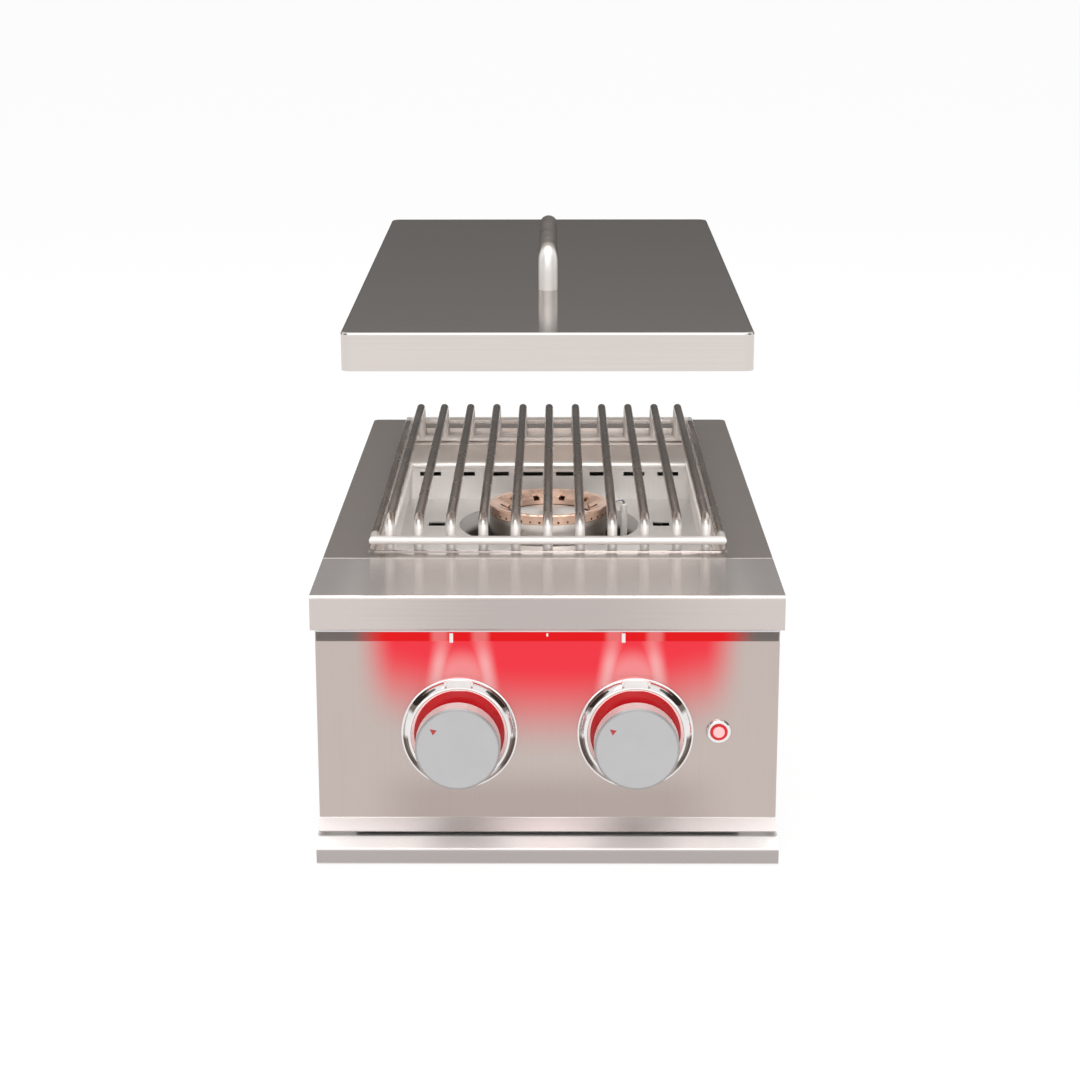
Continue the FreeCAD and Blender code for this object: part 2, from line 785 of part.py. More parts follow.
def valve_body(sign):
    """Brass valve: spring chamber, stem bore, saddle on the manifold and an outlet at the back."""
    length = valve_length
    deep = valve_chamber_depth + valve_stem_depth
    profile = [(valve_chamber_radius, 0), (valve_radius, 0), (valve_radius, length - valve_taper),
               (outlet_radius + 2, length), (outlet_radius, length), (outlet_radius, length + outlet_length),
               (tube_radius + running_gap, length + outlet_length), (tube_radius + running_gap, length + 2),
               (0, length + 2), (0, deep), (stem_radius + running_gap, deep),
               (stem_radius + running_gap, valve_chamber_depth), (valve_chamber_radius, valve_chamber_depth)]
    base = Vector(sign * knob_offset, bonnet_back(), knob_z)
    body = turned(profile, base, backward)
    reach = knob_z - manifold_z
    saddle_y = max(manifold_y, bonnet_back() + saddle_radius)
    saddle = disc(saddle_radius, Vector(base.x, saddle_y, manifold_z), upward, reach - valve_radius + 2)
    pipe = disc(manifold_radius + running_gap, Vector(base.x - valve_radius, manifold_y, manifold_z),
                Vector(1, 0, 0), 2 * valve_radius)
    return joined([body, saddle.cut(pipe)])


def spring_seat(sign):
    """Washer between the stem's collar and the return spring."""
    base = Vector(sign * knob_offset, spring_seat_y() + running_gap, knob_z)
    inner = stem_radius + running_gap
    profile = [(inner, 0), (valve_chamber_radius - 0.5, 0), (valve_chamber_radius - 0.5, washer_sheet),
               (inner, washer_sheet)]
    return turned(profile, base, backward)


def coil_spring(base, length, radius):
    """Compression spring along +Y: one unbroken winding in short straight runs of six-sided wire."""
    height = length - 2 * spring_wire
    count = spring_turns * spring_runs
    path = []
    for step in range(count + 1):
        angle = 2 * math.pi * step / spring_runs
        path.append(Vector(radius * math.cos(angle), radius * math.sin(angle), height * step / count))
    ahead = (path[1] - path[0]).normalize()
    outward = Vector(1, 0, 0)
    across = ahead.cross(outward).normalize()
    corners = []
    for side in range(6):
        angle = math.pi * side / 3
        corners.append(path[0] + (outward * math.cos(angle) + across * math.sin(angle)) * spring_wire)
    section = Part.makePolygon(corners + corners[:1])
    coil = Part.makePolygon(path).makePipeShell([section], True, False, 1)
    return placed(coil, base + backward * spring_wire, backward)


def valve_spring(sign):
    """Return spring between the washer and the chamber's floor."""
    start = spring_seat_y() + running_gap + washer_sheet + running_gap
    end = bonnet_back() + valve_chamber_depth - running_gap
    return coil_spring(Vector(sign * knob_offset, start, knob_z), end - start,
                       valve_chamber_radius - 0.5 - spring_wire)


# Gas supply
def manifold_pipe():
    """Supply pipe: closed right end, along the valves, round a bend and back to the inlet."""
    points = [Vector(manifold_half, manifold_y, manifold_z), Vector(-inlet_offset, manifold_y, manifold_z),
              Vector(-inlet_offset, shell_end - inlet_neck, manifold_z)]
    outer = bent_rod(points, manifold_radius, manifold_bend)
    points[0] = Vector(manifold_half - manifold_cap, manifold_y, manifold_z)
    points[-1] = points[-1] + backward * 1
    return outer.cut(bent_rod(points, manifold_bore, manifold_bend))


def gas_inlet_fitting():
    """Inlet fitting: neck in the back wall, hexagon outside it and a male flare end."""
    place = inlet_place()
    neck = disc(manifold_radius, place - backward * inlet_neck, backward, inlet_neck)
    apothem = inlet_hex / 2
    corner = apothem / math.cos(math.pi / 6)
    corners = [place + Vector(corner * math.cos(k * math.pi / 3), 0, corner * math.sin(k * math.pi / 3))
               for k in range(6)]
    hexagon = Part.Face(Part.makePolygon(corners + corners[:1])).extrude(backward * inlet_hex_length)
    nose = inlet_thread_length + inlet_nose_length
    stub = turned([(0, 0), (inlet_thread_radius, 0), (inlet_thread_radius, inlet_thread_length),
                   (inlet_bore + 0.6, nose), (0, nose)], place + backward * inlet_hex_length, backward)
    whole = joined([neck, hexagon, stub])
    start = place - backward * (inlet_neck + 1)
    return whole.cut(disc(inlet_bore, start, backward, inlet_neck + inlet_hex_length + nose + 2))


def gas_tube(name, sign):
    """Aluminium tube from a valve's outlet to a burner's orifice fitting."""
    x = sign * knob_offset
    start = bonnet_back() + valve_length + tube_socket
    low = start + tube_lead + tube_fall
    end = burner_y(name) - orifice_radius - 2 * tube_socket
    middle = end - tube_tail
    points = [Vector(x, start, knob_z), Vector(x, start + tube_lead, knob_z), Vector(x, low, tube_z),
              Vector(x, middle - tube_shift, tube_z), Vector(0, middle, tube_z), Vector(0, end, tube_z)]
    if middle - tube_shift < low + tube_bend:
        del points[3]
    return bent_rod(points, tube_radius, tube_bend)


def orifice_fitting(name):
    """Brass elbow under a burner: locknut below the well floor, spud up into the base."""
    centre = Vector(0, burner_y(name), 0)
    low = tube_z - orifice_height / 2
    under = well_floor_z - thin_sheet
    profile = [(0, low), (orifice_radius - 1, low), (orifice_radius, low + 1),
               (orifice_radius, tube_z + orifice_height / 2 - 1), (spud_radius, tube_z + orifice_height / 2),
               (spud_radius, under - locknut_height), (locknut_radius, under - locknut_height),
               (locknut_radius, under), (spud_radius, under), (spud_radius, well_floor_z + spud_rise),
               (1, well_floor_z + spud_rise), (1, well_floor_z), (3, well_floor_z - 2), (3, tube_z),
               (0, tube_z)]
    body = turned(profile, centre)
    boss = disc(tube_radius + 2.5, centre + Vector(0, 0, tube_z), forward, orifice_radius + 9)
    bore = disc(tube_radius + running_gap, centre + Vector(0, -orifice_radius - 5, tube_z), forward, 6)
    drill = disc(2, centre + Vector(0, 0, tube_z), forward, orifice_radius + 6)
    return joined([body, boss]).cut(bore).cut(drill)


# Lights
def light_channel():
    """Channel under the lip that holds the light bar."""
    y = front_y + bar_setback
    z = deck_z - lip_height
    outer = block(-bar_half, bar_half, y - channel_sheet, y + bar_depth + channel_sheet,
                  z - channel_height, z)
    inner = block(-bar_half - 1, bar_half + 1, y, y + bar_depth, z - channel_height - 1, z - channel_sheet)
    return outer.cut(inner)


def light_bar():
    """Clear bar in the channel, rounded along its lower edges."""
    y = front_y + bar_setback
    top = deck_z - lip_height - channel_sheet
    bar = block(-bar_half, bar_half, y, y + bar_depth, top - bar_height, top)
    lower = [edge for edge in bar.Edges
             if abs(edge.tangentAt(edge.FirstParameter).x) > 0.9 and edge.CenterOfMass.z < top - 1]
    return bar.makeFillet(2.5, lower)


def button_ring():
    """Chrome ring and barrel of the light button, with its locknut behind the panel."""
    place = Vector(button_x, panel_y, button_z)
    bore = button_cap_radius + running_gap
    tail = -(sheet + button_barrel_length)
    profile = [(bore, button_flange), (button_radius - 1, button_flange), (button_radius, button_flange - 1),
               (button_radius, 0), (button_barrel_radius, 0), (button_barrel_radius, -sheet),
               (button_nut_radius, -sheet), (button_nut_radius, -sheet - button_nut_height),
               (button_barrel_radius, -sheet - button_nut_height), (button_barrel_radius, tail),
               (0, tail), (0, tail + 1.5), (bore, tail + 1.5)]
    return turned(profile, place, forward)


def button_cap():
    """Lit cap that travels in the barrel."""
    place = Vector(button_x, panel_y, button_z)
    top = button_flange + button_travel
    profile = [(0, top - button_cap_length), (button_cap_radius, top - button_cap_length),
               (button_cap_radius, top - 0.8), (button_cap_radius - 0.8, top), (0, top)]
    return turned(profile, place, forward)


def button_spring():
    """Return spring behind the cap."""
    start = panel_y - (button_flange + button_travel - button_cap_length) + running_gap
    end = panel_y + sheet + button_barrel_length - 1.5 - running_gap
    return coil_spring(Vector(button_x, start, button_z), end - start, button_cap_radius - 1.5)


def spark_module():
    """Spark box on the right wall, with two terminals underneath."""
    inner = shell_half - thin_sheet
    y = front_y + module_setback
    z = deck_z - module_drop
    box = block(inner - module_width, inner, y, y + module_depth, z - module_height, z)
    edges = [edge for edge in box.Edges if edge.CenterOfMass.x < inner - 1]
    box = box.makeFillet(2, edges)
    low = z - module_height - module_pin_length
    pins = [disc(module_pin_radius, Vector(inner - module_width / 2, y + share * module_depth, low),
                 upward, module_pin_length + 2) for share in (0.3, 0.7)]
    return joined([box] + pins)


def light_supply_inlet():
    """Low voltage socket on the back wall."""
    place = supply_place()
    neck = supply_radius - supply_shoulder
    profile = [(supply_bore, supply_reach), (supply_radius - 1, supply_reach),
               (supply_radius, supply_reach - 1), (supply_radius, 0), (neck, 0), (neck, -supply_tail),
               (0, -supply_tail), (0, -2), (supply_bore, -2)]
    return turned(profile, place, backward)


# Drip tray
def tray_runner(sign):
    """Angle on the shell's wall that carries one rim of the tray."""
    wall = shell_half - thin_sheet
    top = deck_z - tray_drop - thin_sheet - seat_gap
    length = tray_length - 2 * runner_inset
    y = front_y + tray_setback + runner_inset
    leg = block(wall - thin_sheet, wall, y, y + length, top - thin_sheet, top + runner_depth)
    shelf = block(tray_width / 2 + 1, wall, y, y + length, top - thin_sheet, top)
    runner = joined([leg, shelf])
    for screw in runner_screw_places():
        if screw.x > 0:
            runner = runner.cut(disc(screw_radius + screw_gap, screw - Vector(5, 0, 0), Vector(1, 0, 0), 8))
    return runner if sign > 0 else runner.mirror(Vector(0, 0, 0), Vector(1, 0, 0))


def runner_screw_places():
    """Centres of the runner screws on the shell's inner faces."""
    z = deck_z - tray_drop + runner_depth / 2
    start = front_y + tray_setback + runner_screw_inset
    reach = tray_length - 2 * runner_screw_inset
    places = []
    for x in (-shell_half + thin_sheet / 2, shell_half - thin_sheet / 2):
        for share in (0, 0.5, 1):
            places.append(Vector(x, start + share * reach, z))
    return places


def runner_screws():
    """Screws of both runners, with their heads inside the shell."""
    screws = []
    for place in runner_screw_places():
        outward = 1 if place.x > 0 else -1
        seat = Vector(outward * (shell_half - 2 * thin_sheet), place.y, place.z)
        screws.append(pan_screw(seat, Vector(outward, 0, 0), 2 * thin_sheet))
    return Part.makeCompound(screws)


def tray_pan():
    """Folded grease pan hung from its two rims."""
    top = deck_z - tray_drop
    y = front_y + tray_setback
    half = tray_width / 2
    low = top - tray_depth
    tub = block(-half, half, y, y + tray_length, low, top)
    rims = block(-half - tray_rim, half + tray_rim, y, y + tray_length, top - thin_sheet, top)
    hollow = block(-half + thin_sheet, half - thin_sheet, y + thin_sheet, y + tray_length - thin_sheet,
                   low + thin_sheet, top + 1)
    return joined([tub, rims]).cut(hollow)


def tray_front():
    """Full width tray lip, folded from one sheet with a slanted upper face, and closed at its ends."""
    top = deck_z - tray_drop - tray_lip_drop
    shoulder = top - tray_lip_slant_drop
    low = top - tray_lip_height
    back = front_y + tray_setback
    section = [(back, low + tray_lip_hook), (back, top), (front_y + tray_lip_slant_depth, top),
               (front_y, shoulder), (front_y, low), (back - 2 * sheet, low)]
    half = panel_half + tray_lip_overhang
    lip = folded_sheet(section, sheet, -half, half)
    outline = [(back - sheet, low + sheet), (back - sheet, top - sheet),
               (front_y + tray_lip_slant_depth, top - sheet), (front_y + sheet, shoulder - sheet / 2),
               (front_y + sheet, low + sheet)]
    ends = []
    for x in (-half, half - sheet):
        corners = [Vector(x, y, z) for y, z in outline]
        ends.append(Part.Face(Part.makePolygon(corners + corners[:1])).extrude(Vector(sheet, 0, 0)))
    return joined([lip] + ends)


# Cooking grate
def rod_places():
    """Places of the grate's rods across the burner, closer together at the two sides."""
    inner = rod_count - 2
    places = [(index - (inner - 1) / 2) * rod_pitch for index in range(inner)]
    return [places[0] - outer_gap] + places + [places[-1] + outer_gap]


def grate_rods():
    """Round rods bent down at both ends, standing on the foot rails."""
    rails = grate_feet()
    rods = []
    for x in rod_places():
        points = [Vector(x, leg_front, foot_rod_z), Vector(x, leg_front, rod_z),
                  Vector(x, leg_back, rod_z), Vector(x, leg_back, foot_rod_z)]
        rods.append(bent_rod(points, rod_radius, rod_bend).cut(rails))
    return Part.makeCompound(rods)


def grate_ring():
    """Rectangle of four rods with mitred corners, welded round the outside of the legs."""
    z = deck_z + ring_rise
    reach = rod_radius + ring_rod_radius
    near = leg_front - reach
    far = leg_back + reach
    side = ring_rod_offset
    points = [Vector(0, near, z), Vector(side, near, z), Vector(side, far, z), Vector(-side, far, z),
              Vector(-side, near, z), Vector(0, near, z)]
    circle = Part.Wire(Part.makeCircle(ring_rod_radius, points[0], Vector(1, 0, 0)))
    return Part.makePolygon(points).makePipeShell([circle], True, False, 1)


def grate_feet():
    """Foot rails across the leg ends, resting on the ledge of the opening."""
    half = opening_half - 3
    rails = [disc(foot_rod_radius, Vector(-half, y, foot_rod_z), Vector(1, 0, 0), 2 * half)
             for y in (leg_front, leg_back)]
    return Part.makeCompound(rails)


# Lid
def lid_block(inset, corner, drop):
    """Wedge with rounded upright edges: the lid's outside, or its hollow when inset."""
    half = lid_width / 2 - inset
    y0 = lid_front + inset
    y1 = lid_front + lid_depth - inset
    low = lid_bottom - drop
    slope = lid_rise / lid_depth
    top = lid_bottom + lid_skirt - (inset if inset else 0)
    profile = [Vector(-half, y0, low), Vector(-half, y0, top + inset * slope),
               Vector(-half, y1, top + (lid_depth - inset) * slope), Vector(-half, y1, low)]
    wedge = Part.Face(Part.makePolygon(profile + profile[:1])).extrude(Vector(2 * half, 0, 0))
    return wedge.common(rounded_block(half, y0, y1, low, lid_bottom + lid_skirt + lid_rise + 1, corner))


def lid_panel():
    """Folded lid with a skirt all round; its top rises gently to the back."""
    outside = lid_block(0, lid_corner, 0)
    top_edges = [edge for edge in outside.Edges
                 if edge.BoundBox.ZMin > lid_bottom + lid_skirt - 1 and edge.Length > 5]
    outside = outside.makeFillet(lid_edge, top_edges)
    lid = outside.cut(lid_block(sheet, lid_corner - sheet, 1))
    for y in handle_ends():
        lid = lid.cut(disc(screw_radius + screw_gap, Vector(0, y, lid_bottom), upward,
                           lid_skirt + lid_rise + 1))
    return lid


def handle_ends():
    """Places of the handle's two legs."""
    return (front_y + handle_setback, front_y + handle_setback + handle_span)


def lid_top(y):
    """Height of the lid's upper face."""
    return lid_bottom + lid_skirt + (y - lid_front) * lid_rise / lid_depth


def lid_handle():
    """Round bar bent down at both ends onto the lid, drilled for its screws."""
    near, far = handle_ends()
    reach = handle_height - handle_radius
    points = [Vector(0, near, lid_top(near) - handle_radius), Vector(0, near, lid_top(near) + reach),
              Vector(0, far, lid_top(far) + reach), Vector(0, far, lid_top(far) - handle_radius)]
    bar = bent_rod(points, handle_radius, handle_bend).cut(lid_block(0, lid_corner, 0))
    for y in (near, far):
        bar = bar.cut(disc(screw_radius + screw_gap, Vector(0, y, lid_bottom), upward,
                           lid_top(y) - lid_bottom + handle_screw_length))
    return bar


def lid_screws():
    """Two screws up through the lid into the handle."""
    screws = []
    for y in handle_ends():
        under = lid_top(y) - sheet * 1.001
        seat = Vector(0, y, under - lid_rise / lid_depth * screw_head_radius)
        screws.append(pan_screw(seat, upward, handle_screw_length))
    return Part.makeCompound(screws)


# Fasteners
def valve_screws():
    """Screws through both valve bonnets into the panel."""
    screws = []
    for sign in (-1, 1):
        for offset in (-bonnet_screw_offset, bonnet_screw_offset):
            seat = Vector(sign * knob_offset + offset, bonnet_back(), knob_z)
            screws.append(pan_screw(seat, forward, bonnet_sheet + sheet))
    return Part.makeCompound(screws)


def burner_screws():
    """Screws that hold the baffles on the hubs."""
    screws = [pan_screw(Vector(0, burner_y(name), hub_top() + baffle_sheet), Vector(0, 0, -1), baffle_sheet)
              for name in burner_setbacks]
    return Part.makeCompound(screws)


# Write every sub-part
os.makedirs("parts", exist_ok=True)
save("deck_frame", deck_frame())
save("front_cover", front_cover())
save("control_panel", control_panel())
save("outer_shell", outer_shell())
save("firebox_liner", firebox_liner())
for side, sign in (("left", -1), ("right", 1)):
    save(side + "_bezel", bezel(sign))
    save(side + "_glow_ring", glow_ring(sign))
    save(side + "_knob_body", knob_body(sign))
    save(side + "_knob_face", knob_face(sign))
    save(side + "_knob_mark", knob_mark(sign))
    save(side + "_valve_stem", valve_stem(sign))
    save(side + "_valve_bonnet", valve_bonnet(sign))
    save(side + "_valve_body", valve_body(sign))
    save(side + "_spring_seat", spring_seat(sign))
    save(side + "_valve_spring", valve_spring(sign))
    save(side + "_tray_runner", tray_runner(sign))
for name, sign in (("front", 1), ("rear", -1)):
    save(name + "_burner_base", burner_base(name))
    save(name + "_burner_baffle", burner_baffle(name))
    save(name + "_burner_ring", burner_ring(name))
    save(name + "_gas_tube", gas_tube(name, sign))
    save(name + "_orifice_fitting", orifice_fitting(name))
save("igniter_posts", Part.makeCompound([igniter_post(name) for name in burner_setbacks]))
save("igniter_tips", Part.makeCompound([igniter_tip(name) for name in burner_setbacks]))
save("manifold_pipe", manifold_pipe())
save("gas_inlet_fitting", gas_inlet_fitting())
save("bezel_windows", Part.makeCompound([bezel_window(-1), bezel_window(1)]))
save("light_channel", light_channel())
save("light_bar", light_bar())
save("button_ring", button_ring())
save("button_cap", button_cap())
save("button_spring", button_spring())
save("spark_module", spark_module())
save("light_supply_inlet", light_supply_inlet())
save("tray_pan", tray_pan())
save("tray_front", tray_front())
save("grate_rods", grate_rods())
save("grate_ring", grate_ring())
save("grate_feet", grate_feet())
save("lid_panel", lid_panel())
save("lid_handle", lid_handle())
save("lid_screws", lid_screws())
save("valve_screws", valve_screws())
save("burner_screws", burner_screws())
save("runner_screws", runner_screws())
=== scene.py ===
# %% [markdown]
# # A drop-in double side burner
#
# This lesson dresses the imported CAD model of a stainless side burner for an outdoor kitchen: a
# folded steel deck with a rod grate, two brass burners in wells, lit knobs and a lift-off lid.
# The CAD model is the fixed frame. We add finishes, and model again only what needs a finer form.

# %% Load the frame
import json
import math

import bpy
from mathutils import Matrix, Vector


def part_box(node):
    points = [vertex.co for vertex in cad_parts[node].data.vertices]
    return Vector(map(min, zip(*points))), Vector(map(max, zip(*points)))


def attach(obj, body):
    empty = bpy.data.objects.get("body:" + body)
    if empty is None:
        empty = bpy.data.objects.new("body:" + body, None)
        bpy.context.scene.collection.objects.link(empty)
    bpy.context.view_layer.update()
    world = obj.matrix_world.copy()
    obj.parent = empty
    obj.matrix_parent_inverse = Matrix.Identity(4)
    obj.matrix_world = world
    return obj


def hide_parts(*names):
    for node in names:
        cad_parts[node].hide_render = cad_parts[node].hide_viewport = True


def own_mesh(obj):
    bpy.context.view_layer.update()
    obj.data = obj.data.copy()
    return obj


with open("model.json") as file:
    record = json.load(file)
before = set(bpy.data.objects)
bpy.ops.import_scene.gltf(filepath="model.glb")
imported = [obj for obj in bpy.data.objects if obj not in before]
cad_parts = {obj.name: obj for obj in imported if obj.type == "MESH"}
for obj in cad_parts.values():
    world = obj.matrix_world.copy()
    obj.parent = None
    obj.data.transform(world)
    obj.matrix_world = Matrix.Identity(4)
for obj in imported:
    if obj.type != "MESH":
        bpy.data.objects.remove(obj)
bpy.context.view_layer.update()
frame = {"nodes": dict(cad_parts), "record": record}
nodes = frame["nodes"]
body_of_node = {node: body
                for body, members in frame["record"]["behaviour"]["bodies"].items()
                for node in members}
slot_of_node = {row["node"]: row["material_slot"] for row in frame["record"]["subparts"]}
MM = 0.001

# %% [markdown]
# ## The camera
#
# A camera fitted to the deck's edges gives the photograph's view: a 77.5 mm lens, two metres in
# front of the unit and half a metre above its deck, tilted down 14.55 degrees.

# %% Camera
camera_data = bpy.data.cameras.new("camera")
camera_data.lens = 77.53
camera_data.sensor_width = 36.0
camera_data.clip_start = 0.05
camera_data.clip_end = 60.0
camera = bpy.data.objects.new("camera", camera_data)
bpy.context.scene.collection.objects.link(camera)
camera.location = (0.0061, -2.0033, 0.6983)
tilt, heading, roll = math.radians(14.55), math.radians(0.39), math.radians(0.09)
camera.rotation_euler = (
    Matrix.Rotation(heading, 3, "Z") @ Matrix.Rotation(math.pi / 2 - tilt, 3, "X")
    @ Matrix.Rotation(-roll, 3, "Z")).to_euler()
bpy.context.scene.camera = camera
bpy.context.scene.view_settings.view_transform = "Standard"
print("camera looks along", [round(v, 3) for v in camera.rotation_euler])

# %% [markdown]
# ## Small helpers
#
# Blender's operators act on all that is selected, so each step starts from an empty selection.

# %% Selection helpers
def deselect():
    """Leave edit mode and select nothing."""
    if bpy.context.mode != "OBJECT":
        bpy.ops.object.mode_set(mode="OBJECT")
    bpy.ops.object.select_all(action="DESELECT")


def select_only(*pieces):
    """Select these pieces alone, with the last one active."""
    deselect()
    for piece in pieces:
        piece.select_set(True)
    bpy.context.view_layer.objects.active = pieces[-1]


deselect()

# %% [markdown]
# ## The studio
#
# Stainless steel looks like what stands round it. In the photograph the fronts are bright and the
# tops are dark, so the floor and the sky are white, and a grey card stands behind the unit. The
# card is darkest near the floor, which is what a top seen from a low camera mirrors. Only shiny
# surfaces see the cards: the camera and the soft light pass them by.
#
# A material is a network of nodes. Each of the helpers below adds a node, sets or links its inputs
# and hands back its output, so that a network can be written like a sum.

# %% Node helpers
def feed(tree, socket, value):
    """Give a socket a number, a colour, a vector or another node's output."""
    if isinstance(value, bpy.types.NodeSocket):
        tree.links.new(value, socket)
    elif socket.type == "RGBA":
        socket.default_value = (*value, 1)
    else:
        socket.default_value = value


def add_node(tree, kind, inputs, **settings):
    """A new node with its settings, and its inputs by name or number."""
    node = tree.nodes.new("ShaderNode" + kind)
    for name, value in settings.items():
        setattr(node, name, value)
    for socket, value in inputs.items():
        feed(tree, node.inputs[socket], value)
    return node


def maths(tree, operation, *values):
    """One sum of up to three values, each a number or an output."""
    return add_node(tree, "Math", dict(enumerate(values)), operation=operation).outputs[0]


def where(tree, axis):
    """The object coordinate along one axis."""
    place = tree.nodes.new("ShaderNodeTexCoord").outputs["Object"]
    return add_node(tree, "SeparateXYZ", {0: place}).outputs[axis]


def map_range(tree, value, source, target, shape="LINEAR"):
    """A value carried from one range over to another."""
    inputs = {"Value": value, "From Min": source[0], "From Max": source[1],
              "To Min": target[0], "To Max": target[1]}
    return add_node(tree, "MapRange", inputs, interpolation_type=shape).outputs["Result"]


def ramp(tree, factor, *stops):
    """Colours along a factor, from (position, colour) stops."""
    node = add_node(tree, "ValToRGB", {"Fac": factor})
    elements = node.color_ramp.elements
    for index, (position, colour) in enumerate(stops):
        stop = elements[index] if index < 2 else elements.new(position)
        stop.position = position
        stop.color = (*colour, 1)
    return node.outputs["Color"]


def seen_directly(tree):
    """A factor that is 1 for camera, glossy and transmission rays."""
    rays = tree.nodes.new("ShaderNodeLightPath").outputs
    seen = maths(tree, "MAXIMUM", rays["Is Camera Ray"], rays["Is Glossy Ray"])
    return maths(tree, "MAXIMUM", seen, rays["Is Transmission Ray"])


# %% Sheets of studio furniture
def bare_material(name):
    """A material whose shader is still to be chosen."""
    material = bpy.data.materials.new(name)
    material.use_nodes = True
    tree = material.node_tree
    tree.nodes.remove(tree.nodes["Principled BSDF"])
    return material, tree


def surface_of(tree, shader):
    """Let a material show a shader."""
    feed(tree, tree.nodes["Material Output"].inputs["Surface"], shader.outputs[0])


def stage_plane(name, material, size, location, turn=(0, 0, 0)):
    """A flat sheet of studio furniture, turned by degrees."""
    deselect()
    bpy.ops.mesh.primitive_plane_add(size=1, location=location,
                                     rotation=[math.radians(angle) for angle in turn])
    plane = bpy.context.object
    plane.name = name
    plane.scale = (*size, 1)
    plane.data.materials.append(material)
    return plane


# %% White floor
WHITE, SEEN_WHITE, FLOOR_GLOW = 0.9, 0.24, 0.84
FLOOR_WIDTH, FLOOR_Z = 60, -0.0004
floor_material, tree = bare_material("studio_floor")
white_paint = add_node(tree, "BsdfDiffuse", {"Color": (WHITE, WHITE, WHITE)})
soft_paint = add_node(tree, "BsdfDiffuse", {"Color": (SEEN_WHITE, SEEN_WHITE, SEEN_WHITE)})
white_glow = add_node(tree, "Emission", {"Strength": FLOOR_GLOW})
seen_floor = add_node(tree, "AddShader", {0: soft_paint.outputs[0], 1: white_glow.outputs[0]})
surface_of(tree, add_node(tree, "MixShader", {0: seen_directly(tree), 1: white_paint.outputs[0],
                                              2: seen_floor.outputs[0]}))
stage_plane("studio_floor", floor_material, (FLOOR_WIDTH, FLOOR_WIDTH), (0, 0, FLOOR_Z))
print("floor:", FLOOR_WIDTH, "m wide")

# %% Grey cards
def stage_card(name, size, location, turn, colour=(1, 1, 1), strength=1.0):
    """A glowing sheet that only glossy rays meet, as its node tree and its glow."""
    material, tree = bare_material(name)
    glow = add_node(tree, "Emission", {"Color": colour, "Strength": strength})
    surface_of(tree, glow)
    card = stage_plane(name, material, size, location, turn)
    for sight in ("visible_camera", "visible_diffuse", "visible_shadow", "visible_transmission"):
        setattr(card, sight, False)
    return tree, glow


card_levels = ((0.0, 0.10), (0.22, 0.12), (0.30, 0.17), (0.40, 0.32), (0.55, 0.75), (0.8, 1.0))
card_stops = [(at, (level, level * 0.965, level * 0.935)) for at, level in card_levels]
tree, glow = stage_card("back_card", (12, 4.4), (0, 3.0, 2.0), (90, 0, 0))
height = maths(tree, "ADD", where(tree, "Y"), 0.5)
feed(tree, glow.inputs["Color"], ramp(tree, height, *card_stops))
for side, sign in (("left", -1), ("right", 1)):
    stage_card("side_flag_" + side, (2.3, 2.3), (2.4 * sign, -1.3, 2.0), (0, 90, 0),
               colour=(0.15, 0.145, 0.14))
stage_card("front_card", (16, 1.8), (0, -5.5, 1.75), (-90, 0, 0), strength=1.35)
print("cards: one behind, one at each side, one in front")

# %% World and lamps
SOFT_SKY, SEEN_SKY = 0.55, 1.0
world = bpy.data.worlds.new("studio")
bpy.context.scene.world = world
world.use_nodes = True
tree = world.node_tree
around = tree.nodes["Background"]
feed(tree, around.inputs["Color"], (1, 1, 1))
feed(tree, around.inputs["Strength"],
     map_range(tree, seen_directly(tree), (0, 1), (SOFT_SKY, SEEN_SKY)))


def softbox(name, location, target, size, brightness):
    """A rectangular lamp of a steady brightness, aimed at a point."""
    lamp_data = bpy.data.lights.new(name, "AREA")
    lamp_data.shape = "RECTANGLE"
    lamp_data.size, lamp_data.size_y = size
    lamp_data.energy = brightness * math.pi * size[0] * size[1]
    lamp = bpy.data.objects.new(name, lamp_data)
    bpy.context.scene.collection.objects.link(lamp)
    lamp.location = location
    lamp.rotation_euler = (Vector(target) - Vector(location)).to_track_quat("-Z", "Y").to_euler()
    lamp.visible_camera = False
    return lamp


softbox("front_softbox", (-0.3, -1.9, 2.5), (0, 0, 0.2), (1.8, 1.2), 2.4)
softbox("top_softbox", (0, 0.1, 3.0), (0, 0.1, 0), (2.4, 2.4), 1.35)
print("sky and softboxes ready")

# %% [markdown]
# The lid floats over the grate and keeps the sky out of the firebox, which is bright in the
# photograph. One lamp under the lid fills it softly, and a low one in front gives the burner and
# the rods' legs their highlights. Both reach only the pieces in their own collections: the firebox,
# the burners and the deck's skirt, and the low one the grate too. So the lid and the panel look the
# same in every pose.

# %% Firebox lamps
fill_lamp = softbox("under_lid_light", (0, 0.04, 0.374), (0, 0.0401, 0), (0.28, 0.56), 2.3)
low_lamp = softbox("low_front_light", (0.5, -1.9, 0.64), (0, 0.10, 0.18), (1.2, 0.5), 4.2)
lit_from_above = bpy.data.collections.new("lit_from_above")
lit_from_front = bpy.data.collections.new("lit_from_front")
fill_lamp.light_linking.receiver_collection = lit_from_above
low_lamp.light_linking.receiver_collection = lit_from_front
for node, piece in nodes.items():
    if node.split("_")[0] in ("firebox", "igniter") or "_burner_" in node or node == "deck_frame":
        lit_from_above.objects.link(piece)
        lit_from_front.objects.link(piece)
    elif node in ("grate_ring", "grate_feet"):
        lit_from_front.objects.link(piece)

# %% [markdown]
# ## Brushed steel
#
# Brushed sheet has fine scratches along one direction, the grain. They stretch each reflection
# across the grain, so the steel's shine is given a direction: the cross product of the surface
# normal and the grain. Streaks and a faint bump come from noise that is drawn out along the grain.

